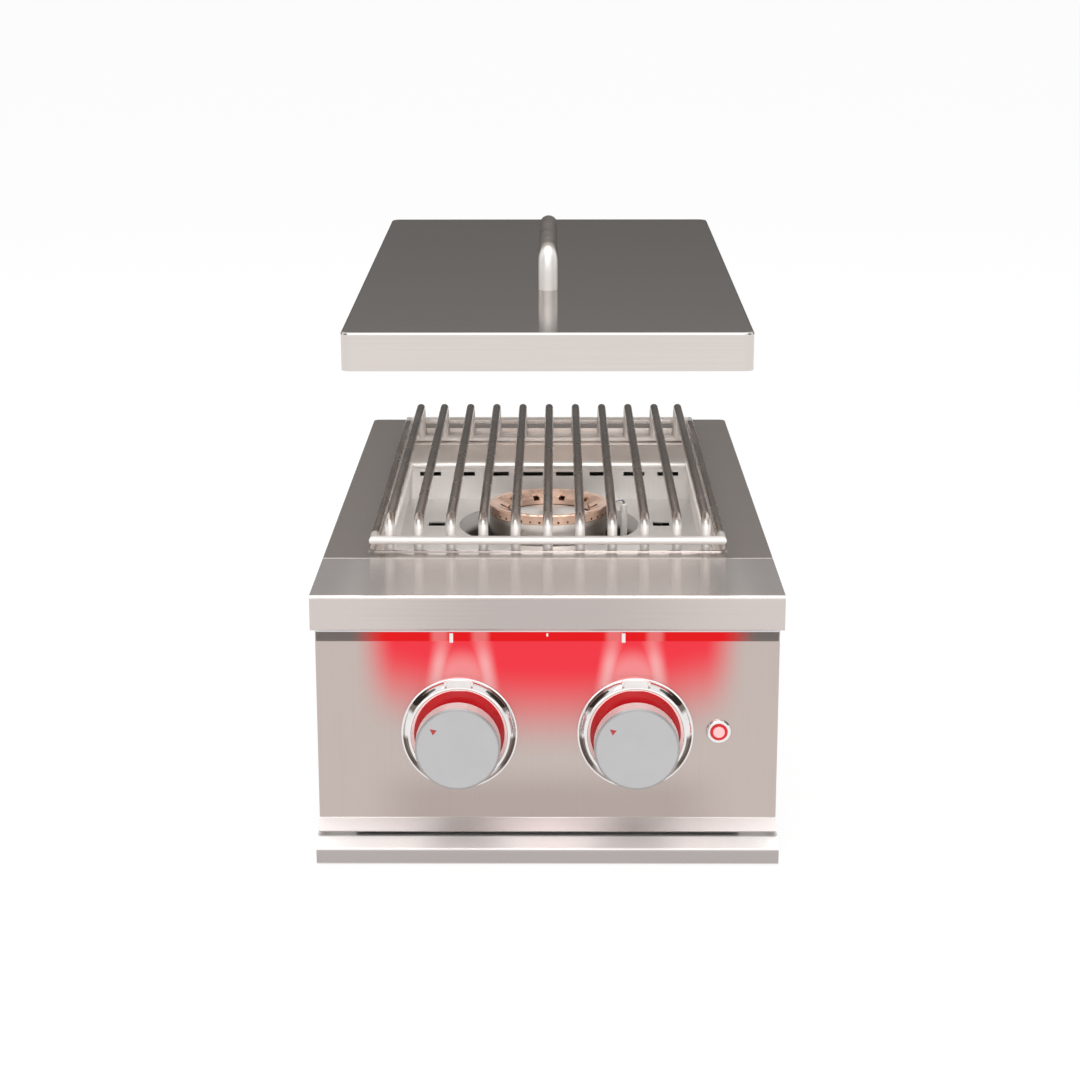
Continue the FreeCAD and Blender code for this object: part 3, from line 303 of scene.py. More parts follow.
# %% Steel helpers
def linear(red, green, blue):
    """Colour from 0..255 display values."""
    def one(value):
        value /= 255
        return value / 12.92 if value <= 0.04045 else ((value + 0.055) / 1.055) ** 2.4
    return one(red), one(green), one(blue)


def inside(material):
    """A material's node tree and its main shader."""
    return material.node_tree, material.node_tree.nodes["Principled BSDF"]


def start_material(name, colour, metallic, roughness):
    """A material with its plain values on the shader's own sockets."""
    material = bpy.data.materials.new(name)
    material.use_nodes = True
    tree, shader = inside(material)
    for socket, value in (("Base Color", colour), ("Metallic", metallic), ("Roughness", roughness)):
        feed(tree, shader.inputs[socket], value)
    return material, tree, shader


def object_noise(tree, stretch, detail):
    """Noise on object coordinates, scaled per metre along x, y and z."""
    place = tree.nodes.new("ShaderNodeTexCoord").outputs["Object"]
    mapping = add_node(tree, "Mapping", {"Vector": place, "Scale": stretch})
    return add_node(tree, "TexNoise", {"Vector": mapping.outputs["Vector"], "Scale": 1.0,
                                       "Detail": detail, "Roughness": 0.55}).outputs["Fac"]


def mottled(tree, pattern, colour, spread):
    """A colour that turns darker and lighter with a pattern."""
    dark = tuple(part * (1 - spread) for part in colour)
    light = tuple(min(1, part * (1 + spread)) for part in colour)
    return ramp(tree, pattern, (0.35, dark), (0.65, light))


def blend(tree, factor, first, second, way="MIX", kind="RGBA"):
    """Two colours, numbers or vectors mixed, each a plain value or an output."""
    return add_node(tree, "Mix", {"Factor": factor, "A": first, "B": second},
                    data_type=kind, blend_type=way).outputs["Result"]


def add_bumps(tree, shader, height, strength, distance):
    """A fine relief that follows a pattern."""
    bumps = add_node(tree, "Bump", {"Strength": strength, "Distance": distance, "Height": height})
    feed(tree, shader.inputs["Normal"], bumps.outputs["Normal"])


def across_grain(tree, grain):
    """The direction that lies in the surface and across the grain."""
    normal = tree.nodes.new("ShaderNodeNewGeometry").outputs["Normal"]
    return add_node(tree, "VectorMath", {0: normal, 1: grain},
                    operation="CROSS_PRODUCT").outputs["Vector"]


# %% Brushed and plain metal
ALONG, ACROSS = 6.0, 2200.0
STRETCH = {"X": (ALONG, ACROSS, ACROSS), "Y": (ACROSS, ALONG, ACROSS), "Z": (ACROSS, ACROSS, ALONG)}
GRAIN = {"X": (1, 0, 0.02), "Y": (0, 1, 0.02), "Z": (0, 0.02, 1)}


def brushed_steel(name, colour, grain="X", roughness=0.22, anisotropy=0.96, spread=0.025):
    """Sheet with a brushed grain along X, Y or Z."""
    material, tree, shader = start_material(name, colour, 1.0, roughness)
    lines = object_noise(tree, STRETCH[grain], 4)
    clouds = object_noise(tree, (7, 7, 7), 2)
    smudges = ramp(tree, clouds, (0.35, (0.985, 0.985, 0.985)), (0.65, (1, 1, 1)))
    colour = blend(tree, 1.0, mottled(tree, lines, colour, spread), smudges, "MULTIPLY")
    shine = map_range(tree, lines, (0.3, 0.7), (roughness - 0.01, roughness + 0.01))
    for socket, value in (("Base Color", colour), ("Roughness", shine), ("Anisotropic", anisotropy),
                          ("Tangent", across_grain(tree, GRAIN[grain]))):
        feed(tree, shader.inputs[socket], value)
    add_bumps(tree, shader, lines, 0.015, 0.0001)
    return material


def plain_metal(name, colour, roughness, spread=0.05, scale=40.0, bump=0.0, metallic=1.0):
    """Metal with a faint cloudy finish and no grain, and a cast surface where bump is given."""
    material, tree, shader = start_material(name, colour, metallic, roughness)
    clouds = object_noise(tree, (scale, scale, scale), 4)
    feed(tree, shader.inputs["Base Color"], mottled(tree, clouds, colour, spread))
    feed(tree, shader.inputs["Roughness"],
         map_range(tree, clouds, (0.3, 0.7), (max(0.02, roughness - 0.04), roughness + 0.05)))
    if bump:
        add_bumps(tree, shader, clouds, bump, 0.0008)
    return material


# %% Metal finishes
STEEL = linear(216, 208, 203)
sheets = (("deck_steel", STEEL, {}),
          ("lid_steel", STEEL, {"roughness": 0.13}),
          ("shell_steel", linear(200, 198, 196), {"grain": "Z", "roughness": 0.36}),
          ("liner_steel", linear(248, 245, 242),
           {"grain": "Z", "roughness": 0.5, "anisotropy": 0.4}),
          ("tray_steel", linear(231, 226, 223), {"roughness": 0.42, "anisotropy": 0.8}))
metals = (("polished_steel", linear(238, 234, 230), 0.16, {"spread": 0.02}),
          ("rod_steel", linear(218, 212, 207), 0.24, {"spread": 0.03}),
          ("chrome", linear(232, 230, 229), 0.05, {"spread": 0.02}),
          ("screw_steel", linear(190, 190, 190), 0.25, {}),
          ("spring_steel", linear(170, 170, 172), 0.3, {}),
          ("tube_aluminium", linear(215, 215, 216), 0.3, {}),
          ("pipe_steel", linear(150, 148, 140), 0.42, {"spread": 0.12}),
          ("valve_brass", linear(206, 172, 112), 0.28, {"spread": 0.1}),
          ("ring_brass", linear(230, 196, 176), 0.2, {"spread": 0.08, "scale": 70, "bump": 0.12}),
          ("knob_satin", linear(194, 193, 194), 0.38, {"spread": 0.02}))
finishes = {name: brushed_steel(name, colour, **options) for name, colour, options in sheets}
finishes.update({name: plain_metal(name, colour, roughness, **options)
                 for name, colour, roughness, options in metals})
print("metal finishes:", len(finishes))

# %% [markdown]
# ## Ceramic, plastics and lenses
#
# The igniters stand in fired white ceramic, the spark module is moulded black, and the knobs carry
# a red mark. Fine noise gives each a matt, slightly grainy surface. The lenses are clear plastic
# with a lamp behind them, so they glow by themselves, and each has a coloured body for when the
# glow is weak.

# %% Plastics, ceramic and lit parts
def dull_surface(name, colour, roughness):
    """Moulded or fired surface with a fine grain."""
    material, tree, shader = start_material(name, colour, 0.0, roughness)
    specks = object_noise(tree, (300, 300, 300), 3)
    feed(tree, shader.inputs["Base Color"], mottled(tree, specks, colour, 0.04))
    add_bumps(tree, shader, specks, 0.03, 0.0002)
    return material


def lit_plastic(name, colour, glow, strength):
    """Clear coloured plastic with a lamp behind it."""
    material, tree, shader = start_material(name, colour, 0.0, 0.25)
    shader.inputs["Emission Strength"].default_value = strength
    clouds = object_noise(tree, (60, 60, 60), 2)
    feed(tree, shader.inputs["Emission Color"], mottled(tree, clouds, glow, 0.08))
    return material


for name, colour, roughness in (("ceramic", linear(238, 236, 230), 0.55),
                                ("module_black", linear(38, 38, 40), 0.5),
                                ("mark_red", linear(206, 66, 66), 0.4)):
    finishes[name] = dull_surface(name, colour, roughness)
for name, colour, glow, strength in (
        ("red_lens", linear(150, 24, 30), linear(225, 28, 34), 0.6),
        ("window_lens", linear(120, 117, 116), linear(246, 243, 241), 0.74),
        ("button_lens", linear(236, 176, 176), linear(240, 190, 190), 0.6)):
    finishes[name] = lit_plastic(name, colour, glow, strength)
print("finishes in all:", len(finishes))

# %% [markdown]
# ## The glowing control panel
#
# A red light bar under the lip washes over the upper panel. The wash is a soft shape with a
# steady place, so it is painted into the panel's finish from the object coordinates. Its lower
# edge is a shallow bow, two pale streaks of painted light run down beside each knob, and the light
# in a bezel's window adds a painted pale halo. Below the knobs a painted shadow darkens the panel,
# and the panel's own colour carries a faint painted tail of the red light.

# %% Shapes for painting light
def soft_step(tree, value, start, end):
    """A smooth rise from 0 to 1 between two values, or a fall if end is below start."""
    target = (0.0, 1.0) if start < end else (1.0, 0.0)
    return map_range(tree, value, (min(start, end), max(start, end)), target, "SMOOTHSTEP")


def times(tree, first, second):
    """Two values multiplied."""
    return maths(tree, "MULTIPLY", first, second)


def within(tree, value, rise, fall):
    """1 where a value is past a soft rise and before a soft fall."""
    return times(tree, soft_step(tree, value, *rise), soft_step(tree, value, *fall))


def away_from(tree, value, centre=0.0):
    """How far a value is from a centre."""
    return maths(tree, "ABSOLUTE", maths(tree, "SUBTRACT", value, centre))


def length(tree, first, second):
    """The length of a line from its two legs."""
    return maths(tree, "SQRT", maths(tree, "ADD", times(tree, first, first),
                                     times(tree, second, second)))


def source_of(shader, socket):
    """The output that feeds one of a shader's sockets."""
    return shader.inputs[socket].links[0].from_socket


# %% Panel finish
WASH_X, WASH_FOOT, WASH_BOW, WASH_HALF, WASH_ENDS = 0.002, 0.079, 0.020, 0.125, (0.152, 0.118)
STREAK_X, STREAK_APART, STREAK_SPREAD, STREAK_HALF = 0.0655, 0.0145, 0.16, 0.0100
BAR_Z, WINDOW_Z, HALO, KICK_Z = 0.178, 0.146, (0.028, 0.010), 0.0324
# The panel's own colour is a little warmer than the other steel: a faint painted tail of the bar's
# red light.
panel_steel = brushed_steel("panel_steel", linear(195, 182, 176), "Z", roughness=0.3,
                            anisotropy=0.7, spread=0.015)
tree, shader = inside(panel_steel)
x, z = where(tree, "X"), where(tree, "Z")
off_centre = maths(tree, "SUBTRACT", x, WASH_X)
span = maths(tree, "DIVIDE", off_centre, WASH_HALF)
foot = maths(tree, "MULTIPLY_ADD", times(tree, span, span), WASH_BOW, WASH_FOOT)
down = soft_step(tree, maths(tree, "SUBTRACT", z, foot), 0.0, 0.078)
across = soft_step(tree, maths(tree, "ABSOLUTE", off_centre), *WASH_ENDS)
wash = times(tree, across, down)

from_middle = away_from(tree, x)
from_knob = away_from(tree, from_middle, STREAK_X)
below_bar = maths(tree, "SUBTRACT", BAR_Z, z)
streak_place = maths(tree, "MULTIPLY_ADD", below_bar, STREAK_SPREAD, STREAK_APART)
streaks = soft_step(tree, away_from(tree, from_knob, streak_place), STREAK_HALF, 0.0)
near_bezel = soft_step(tree, below_bar, 0.002, 0.022)
streaks = times(tree, streaks, maths(tree, "MULTIPLY_ADD", near_bezel, 0.45, 0.35))
from_window = length(tree, from_knob, maths(tree, "SUBTRACT", z, WINDOW_Z))
halo = times(tree, soft_step(tree, from_window, *HALO), 0.5)
pale = maths(tree, "MAXIMUM", streaks, halo)

# %% The panel's colours
red_light = blend(tree, pale, linear(240, 62, 74), linear(248, 184, 184))
# Painted shadow: the panel is darker below the knobs, towards the middle.
painted_shadow_below_knobs = times(tree, soft_step(tree, z, 0.080, 0.048),
                    soft_step(tree, from_middle, 0.150, 0.090))
shade = blend(tree, painted_shadow_below_knobs, (1.0, 1.0, 1.0), (0.82, 0.80, 0.80))
bare = blend(tree, 1.0, source_of(shader, "Base Color"), shade, "MULTIPLY")
upright = blend(tree, wash, bare, red_light)
# Painted highlight: the kick rail at the foot keeps a lighter, plain steel colour without the
# painted red, where it faces up to the light. It is also rougher.
kick = soft_step(tree, z, KICK_Z, KICK_Z - 0.0006)
rough = maths(tree, "MULTIPLY_ADD", kick, 0.14, source_of(shader, "Roughness"))
feed(tree, shader.inputs["Base Color"], blend(tree, kick, upright, linear(226, 221, 219)))
feed(tree, shader.inputs["Roughness"], rough)
finishes["panel_steel"] = panel_steel
print("panel painted with", len(tree.nodes), "nodes")

# %% [markdown]
# ## Inside the deck's opening
#
# The deck's skirt goes down into the firebox and has a coarser, upright grain than the top. Its
# place is fixed, so the same material changes its colour, its roughness and the direction of its
# shine below the rebate's ledge.

# %% Deck frame finish
LEDGE_Z, OPENING_HALF = 0.2055, 0.1448
deck_frame_steel = brushed_steel("deck_frame_steel", STEEL)
tree, shader = inside(deck_frame_steel)
skirt = times(tree, maths(tree, "LESS_THAN", where(tree, "Z"), LEDGE_Z),
              maths(tree, "LESS_THAN", away_from(tree, where(tree, "X")), OPENING_HALF))
for socket, kind, there in (("Base Color", "RGBA", linear(243, 239, 235)),
                            ("Roughness", "FLOAT", 0.5),
                            ("Tangent", "VECTOR", across_grain(tree, GRAIN["Z"]))):
    change = blend(tree, skirt, source_of(shader, socket), there, kind=kind)
    feed(tree, shader.inputs[socket], change)
print("deck frame: grain turns below z =", LEDGE_Z)

# %% [markdown]
# ## Light round the knobs
#
# The window at the top of a bezel throws its light down on the lip and on the red ring, so both
# glow less towards the bottom. This fade is painted light, and the lip, which is no lamp, has its
# whole glow painted. The bezels never move, so the fade follows the height.

# %% Glow that fades downwards
left_bezel, right_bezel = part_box("left_bezel"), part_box("right_bezel")
PANEL_Y = left_bezel[1][1]
KNOB_Z = (left_bezel[0][2] + left_bezel[1][2]) / 2
KNOB_X = (right_bezel[0][0] + right_bezel[1][0]) / 2


def fading_glow(name, colour, glow, low, high):
    """Plastic whose glow rises from low to high over the height of a bezel."""
    material = lit_plastic(name, colour, glow, high)
    tree, shader = inside(material)
    heights = (KNOB_Z - 0.022, KNOB_Z + 0.034)
    feed(tree, shader.inputs["Emission Strength"],
         map_range(tree, where(tree, "Z"), heights, (low, high)))
    return material


# Painted light: the lip is no lamp, and its glow stands for the window's light falling on it.
bezel_lip_painted_glow = fading_glow("bezel_lip_painted_glow", linear(236, 214, 210), linear(255, 222, 218), 0.08, 0.85)
ring_lens = fading_glow("ring_lens", linear(110, 16, 20), linear(220, 26, 34), 0.12, 0.6)
print("knobs at x =", round(KNOB_X, 4), "z =", round(KNOB_Z, 4))

# %% [markdown]
# ## Light bar
#
# The bar is one long lens: red where the lamps behind it shine, grey at its unlit ends, and pale
# in two short breaks beside each knob. All of this follows the distance from the middle, so one
# finish on the solid bar is enough, and no lamp is needed.

# %% Light bar finish
BAR_X, LIT_HALF, BREAK_X, BREAK_STEP = 0.005, 0.156, 0.0665, 0.0155
bar_lens, tree, shader = start_material("bar_lens", linear(128, 122, 118), 0.0, 0.5)
x = where(tree, "X")
lit = soft_step(tree, away_from(tree, x, BAR_X), LIT_HALF, LIT_HALF - 0.030)
from_break = away_from(tree, away_from(tree, away_from(tree, x), BREAK_X), BREAK_STEP)
pale = times(tree, soft_step(tree, from_break, 0.009, 0.003), 0.55)
for socket, value in (
        ("Emission Color", blend(tree, pale, linear(234, 22, 27), linear(244, 150, 150))),
        ("Emission Strength", times(tree, lit, 0.95)),
        ("Base Color", blend(tree, lit, linear(136, 128, 123), linear(12, 1, 2))),
        ("Specular IOR Level", 0.08)):
    feed(tree, shader.inputs[socket], value)
print("light bar lit over", 2 * LIT_HALF, "m")

# %% [markdown]
# ## Front cover, lid, tray and grate rods
#
# The cover's top catches more light than its upright lip, the flat top of the lid and the tray's
# upright front are darker than the rest of them, and the rods' tops are darker than their satin
# legs. These are painted light and shade: they have a fixed place or come with the way a face
# looks. So a small function gives a factor that says where a finish is painted darker, and a tint
# says how much.

# %% Tints and where they act
def tinted(material, factor_maker, tint):
    """Multiply a finish's colour by a tint where a factor is 1."""
    tree, shader = inside(material)
    before = source_of(shader, "Base Color")
    shade = blend(tree, factor_maker(tree), (1.0, 1.0, 1.0), tint)
    feed(tree, shader.inputs["Base Color"], blend(tree, 1.0, before, shade, "MULTIPLY"))
    return material


def facing(tree, axis):
    """How far a surface faces along an axis."""
    normal = tree.nodes.new("ShaderNodeNewGeometry").outputs["Normal"]
    return add_node(tree, "SeparateXYZ", {0: normal}).outputs[axis]


def by_place(axis, start, end):
    """A factor that changes between two places along an axis."""
    return lambda tree: soft_step(tree, where(tree, axis), start, end)


def by_facing(axis, start, end):
    """A factor that changes with the way a face looks."""
    return lambda tree: soft_step(tree, facing(tree, axis), start, end)


def from_side_to_side(start, end):
    """A factor that changes between two distances from the middle."""
    return lambda tree: soft_step(tree, away_from(tree, where(tree, "X")), start, end)


def both(first_maker, second_maker):
    """A factor that counts only where two others do."""
    return lambda tree: times(tree, first_maker(tree), second_maker(tree))


def all_but(factor_maker):
    """The rest of a piece."""
    return lambda tree: maths(tree, "SUBTRACT", 1.0, factor_maker(tree))


flat_top = by_facing("Z", 0.70, 0.98)
print("tints ready")

# %% Cover, deck, lid and tray
LIP_Y, DECK_Z = -0.3190, 0.2160
on_lip = by_place("Y", LIP_Y, LIP_Y - 0.0012)
# Painted light and shade: the cover's light colour brightens its top, and the tints darken its
# upright lip, most towards the middle, and its top at the sides.
cover_steel = brushed_steel("cover_steel", linear(243, 237, 234), roughness=0.24)
tinted(cover_steel, on_lip, (0.68, 0.65, 0.64))
tinted(cover_steel, both(from_side_to_side(0.16, 0.03), on_lip), (0.80, 0.80, 0.80))
tinted(cover_steel, both(from_side_to_side(0.10, 0.172), flat_top), (0.53, 0.53, 0.53))
# Painted shade on the deck frame's flat top.
tinted(deck_frame_steel, both(by_place("Z", DECK_Z, DECK_Z + 0.0005), flat_top),
       (0.56, 0.55, 0.545))
# Painted shade: the lid's flat top is darker than its front and sides.
tinted(finishes["lid_steel"], flat_top, (0.69, 0.69, 0.69))
# Painted shade: the tray's upright front is darker, and its slanted top a little darker and cooler.
tinted(finishes["tray_steel"], by_facing("Y", -0.80, -0.98), (0.56, 0.54, 0.54))
tinted(finishes["tray_steel"], by_facing("Z", 0.30, 0.50), (0.90, 0.92, 0.93))
print("cover, deck, lid and tray tinted")


# %% Rods and handle
def satin_where(material, factor_maker, metallic, roughness):
    """Make a finish less metallic and rougher where a factor is 1."""
    tree, shader = inside(material)
    factor = factor_maker(tree)
    before = source_of(shader, "Roughness")
    feed(tree, shader.inputs["Metallic"],
         maths(tree, "MULTIPLY_ADD", factor, metallic - 1.0, 1.0))
    feed(tree, shader.inputs["Roughness"],
         maths(tree, "MULTIPLY_ADD", factor, roughness, before))


GRATE_Y, HANDLE_Y = 0.0515, 0.0225


def painted_shade_on_tops(tree):
    """1 on the rods' tops and the ring's sides, where shade is painted, 0 on the legs and the
    ring's ends.
    """
    between_legs = soft_step(tree, away_from(tree, where(tree, "Y"), GRATE_Y), 0.226, 0.220)
    return maths(tree, "MAXIMUM", between_legs, soft_step(tree, where(tree, "Z"), 0.236, 0.244))


def handle_leg(tree):
    """1 on the two legs of the lid's handle, 0 on the bar between them."""
    return soft_step(tree, away_from(tree, where(tree, "Y"), HANDLE_Y), 0.0835, 0.0905)


rod_finish = plain_metal("rod_finish", linear(248, 243, 239), 0.26, spread=0.01, scale=14)
# Painted shade: the rods' tops and the ring's sides are darker than the legs.
tinted(rod_finish, painted_shade_on_tops, (0.60, 0.57, 0.55))
satin_where(rod_finish, all_but(painted_shade_on_tops), 0.3, 0.12)
handle_finish = plain_metal("handle_finish", linear(248, 244, 240), 0.3, spread=0.015)
# Painted shade: the handle's bar is darker than its legs, as the rods' tops are.
tinted(handle_finish, all_but(handle_leg), (0.42, 0.395, 0.375))
satin_where(handle_finish, handle_leg, 0.45, 0.12)
print("rod and handle finishes ready")

# %% [markdown]
# ## Burners, bezels and knobs
#
# Round metal mirrors the dark sides of the studio on its flanks. In the photograph the drums, the
# flame rings and the bezels have such dark arcs, wider than this studio gives, so they are painted
# as tints: by the distance from the middle, or by the angle round the knob. A knob's side is bright
# satin, and its front rim is as grey as its face.

# %% Burners, bezels and knobs
LOW_ARC, HIGH_ARC = ((-0.76, -0.55), (0.02, -0.10)), ((0.40, 0.50), (0.86, 0.78))
CREST, KNOB_FRONT_Y = ((0.0390, 0.0397), (0.0437, 0.0434)), -0.3379


def bezel_flank(tree):
    """1 on a bezel's rounded flanks, just below the knob's axis and halfway up to the window."""
    x = maths(tree, "SUBTRACT", away_from(tree, where(tree, "X")), KNOB_X)
    z = maths(tree, "SUBTRACT", where(tree, "Z"), KNOB_Z)
    out = length(tree, x, z)
    lean = maths(tree, "DIVIDE", z, out)
    arcs = maths(tree, "MAXIMUM", within(tree, lean, *LOW_ARC), within(tree, lean, *HIGH_ARC))
    return times(tree, arcs, within(tree, out, *CREST))


drum_steel = plain_metal("drum_steel", linear(238, 234, 230), 0.2, spread=0.03)
bezel_chrome = plain_metal("bezel_chrome", linear(232, 230, 229), 0.05, spread=0.02)
knob_side = plain_metal("knob_side", linear(244, 238, 236), 0.42, spread=0.01, metallic=0.35)
tinted(drum_steel, from_side_to_side(0.022, 0.045), (0.30, 0.27, 0.25))
tinted(bezel_chrome, bezel_flank, (0.24, 0.20, 0.175))
tinted(finishes["ring_brass"], both(by_facing("Z", 0.60, 0.30), from_side_to_side(0.040, 0.054)),
       (0.30, 0.22, 0.17))
tinted(knob_side, by_place("Y", KNOB_FRONT_Y, KNOB_FRONT_Y - 0.0005), (0.52, 0.53, 0.54))
print("drums, rings, bezels and knobs tinted")

# %% [markdown]
# ## Firebox liner
#
# The liner is a plain pressed tub. Its floor is darker towards the back, where the lid shades it.
# The wells are pressed into the floor, and little light reaches their lower parts. Their walls are
# given a dull, less metallic surface, because a mirror would only show the dark around it.

# %% Liner finish
WELL_RIM_Z, WELL_FLOOR_Z = 0.1496, 0.1040
liner = tinted(finishes["liner_steel"], both(flat_top, by_place("Y", 0.04, 0.22)),
               (0.70, 0.70, 0.705))
tinted(liner, by_place("Z", 0.1390, 0.1315), (0.10, 0.085, 0.075))
tree, shader = inside(liner)
in_well = within(tree, where(tree, "Z"), (WELL_FLOOR_Z, WELL_FLOOR_Z + 0.0040),
                 (WELL_RIM_Z, WELL_RIM_Z - 0.0006))
feed(tree, shader.inputs["Metallic"], maths(tree, "MULTIPLY_ADD", in_well, -0.8, 1.0))
print("liner painted with", len(tree.nodes), "nodes")

# %% [markdown]
# ## Dressing the frame
#
# Each CAD node takes the finish of its material slot, unless it has one of its own. A new piece
# that is modelled here takes over the node it stands for and its body, so that it moves as the
# solid does.

# %% Give every CAD node its finish
finish_of_node = {"light_bar": bar_lens, "lid_handle": handle_finish,
                  "deck_frame": deck_frame_steel, "front_cover": cover_steel}
for finish, dressed in ((ring_lens, ("left_glow_ring", "right_glow_ring")),
                        (drum_steel, ("front_burner_base", "rear_burner_base")),
                        (knob_side, ("left_knob_body", "right_knob_body")),
                        (rod_finish, ("grate_rods", "grate_ring", "grate_feet"))):
    finish_of_node.update({node: finish for node in dressed})
for node, piece in nodes.items():
    piece.data.materials.clear()
    piece.data.materials.append(finish_of_node.get(node, finishes[slot_of_node[node]]))
print("nodes dressed:", len(nodes), "of them with their own finish:", len(finish_of_node))


# %% A piece that stands for a CAD node
def claim(piece, node):
    """Let a piece stand for a CAD node and ride with its body."""
    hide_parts(node)
    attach(piece, body_of_node[node])


def corners_of(node):
    """The low and the high corner of a CAD node's box."""
    return [Vector(corner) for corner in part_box(node)]


def joined(*parts):
    """Several pieces made one, in the place of the last."""
    select_only(*parts)
    bpy.ops.object.join()
    return bpy.context.object


# %% [markdown]
# ## Turned pieces
#
# Bezels, buttons and threads are round, so each is drawn as half of its outline and carried round
# the axis. A circle gives the first loop. Every further loop is extruded from the last one, moved
# along the axis and resized, which is how one would do it by hand.

# %% A piece from its outline
FRONT = Vector((0, -1, 0))
BACK = Vector((0, 1, 0))
WELD, SHARP = 1e-6, math.radians(35)


def close_up():
    """Weld an open shape in edit mode, turn its faces outwards and smooth it."""
    bpy.ops.mesh.select_all(action="SELECT")
    bpy.ops.mesh.remove_doubles(threshold=WELD)
    bpy.ops.mesh.normals_make_consistent(inside=False)
    bpy.ops.object.mode_set(mode="OBJECT")
    bpy.ops.object.transform_apply(location=True, rotation=True, scale=True)
    bpy.ops.object.shade_smooth_by_angle(angle=SHARP)


def turned(name, centre, axis, profile, steps=128):
    """A closed round piece from (radius, distance) pairs in millimetres."""
    centre = Vector(centre)
    turn = axis.to_track_quat("Z", "Y").to_euler()
    radius, distance = profile[0]
    deselect()
    bpy.ops.mesh.primitive_circle_add(vertices=steps, radius=radius * MM, rotation=turn,
                                      location=centre + axis * distance * MM)
    piece = bpy.context.object
    piece.name = name
    bpy.ops.object.mode_set(mode="EDIT")
    bpy.ops.mesh.select_all(action="SELECT")
    for wider, further in profile[1:]:
        step = axis * (further - distance) * MM
        bpy.ops.mesh.extrude_edges_move(TRANSFORM_OT_translate={"value": step})
        grow = wider / radius
        bpy.ops.transform.resize(value=(grow, grow, grow),
                                 center_override=centre + axis * further * MM)
        radius, distance = wider, further
    close_up()
    return piece


# %% [markdown]
# ## Bezels
#
# Each knob stands in a chrome ring whose crest is well rounded: its outer slope mirrors the dark
# sides of the studio, which gives the black and white arcs of real chrome, and the darkest arcs on
# its flanks are painted reflections. The lip inside the crest is duller and paler, and the red
# light it catches is painted into its glow.

# %% Two bezels
LIP_RADIUS, LIP_BACK = 36.6 * MM, 2 * MM
bezel_outline = [(12, 0), (45, 0), (45, 3.4), (44.8, 3.8), (44.5, 3.95), (43.75, 4.15),
                 (43.6, 4.25), (43.0, 5.0), (42.4, 5.72), (41.8, 6.38), (41.2, 6.98), (40.6, 7.5),
                 (40.0, 7.95), (39.4, 8.3), (38.8, 8.6), (38.2, 8.85), (37.7, 9.0), (37.3, 8.95),
                 (37.0, 8.7), (35.0, 4.3), (36.5, 4.1), (36.5, 1.5), (12, 1.5), (12, 0)]
for side, sign in (("left", -1), ("right", 1)):
    bezel = turned(side + "_bezel_turned", (sign * KNOB_X, PANEL_Y, KNOB_Z), FRONT, bezel_outline)
    bezel.data.materials.append(bezel_chrome)
    bezel.data.materials.append(bezel_lip_painted_glow)
    for face in bezel.data.polygons:
        middle = face.center
        out = math.hypot(middle.x - sign * KNOB_X, middle.z - KNOB_Z)
        face.material_index = int(out < LIP_RADIUS and PANEL_Y - middle.y > LIP_BACK)
    claim(bezel, side + "_bezel")
print("bezels turned at x =", round(KNOB_X, 4), "z =", round(KNOB_Z, 4))

# %% [markdown]
# ## Bent bars
#
# The grate's eleven rods and the lid's handle are round bars bent down at both ends. Each is drawn
# as a circle at the foot of its front leg that is extruded up, spun round the bend, extruded
# along, spun again and extruded down. One rod is drawn, and the others are copies of it, each with
# its own mesh.

# %% One bent bar
def pull(*move):
    """Extrude what is selected."""
    bpy.ops.mesh.extrude_region_move(TRANSFORM_OT_translate={"value": move})


def bend_round(angle, y, z):
    """Spin what is selected round a line along X."""
    bpy.ops.mesh.spin(steps=12, angle=angle, center=(0, y, z), axis=(1, 0, 0))


def bent_bar(name, radius, bend, legs, feet, corners, rings=32):
    """A bar over two legs: their places along Y, and the heights of its feet and its corners."""
    (front, back), (front_foot, back_foot), (front_top, back_top) = legs, feet, corners
    slope = math.atan2(back_top - front_top, back - front)
    first, second = math.pi / 2 - slope, math.pi / 2 + slope
    near, far = bend * math.tan(first / 2), bend * math.tan(second / 2)
    along = math.hypot(back - front, back_top - front_top) - near - far
    deselect()
    bpy.ops.mesh.primitive_circle_add(vertices=rings, radius=radius, fill_type="NGON",
                                      location=(0, front, front_foot))
    bar = bpy.context.object
    bar.name = name
    bpy.ops.object.mode_set(mode="EDIT")
    bpy.ops.mesh.select_all(action="SELECT")
    pull(0, 0, front_top - near - front_foot)
    bend_round(first, front + bend, front_top - near)
    pull(0, along * math.cos(slope), along * math.sin(slope))
    bend_round(second, back - bend, back_top - far)
    pull(0, 0, back_foot - back_top + far)
    close_up()
    return bar


# %% One rod
ROD, ROD_BEND = 4.0 * MM, 9 * MM
rods_low, rods_high = corners_of("grate_rods")
foot_low, foot_high = corners_of("grate_feet")
rail_height = (foot_low.z + foot_high.z) / 2
rod_height = rods_high.z - ROD
rod = bent_bar("rod_0", ROD, ROD_BEND, (rods_low.y + ROD, rods_high.y - ROD),
               (rail_height, rail_height), (rod_height, rod_height))
rod.data.materials.append(rod_finish)
print("rod spans", [round(v, 4) for v in rod.dimensions])

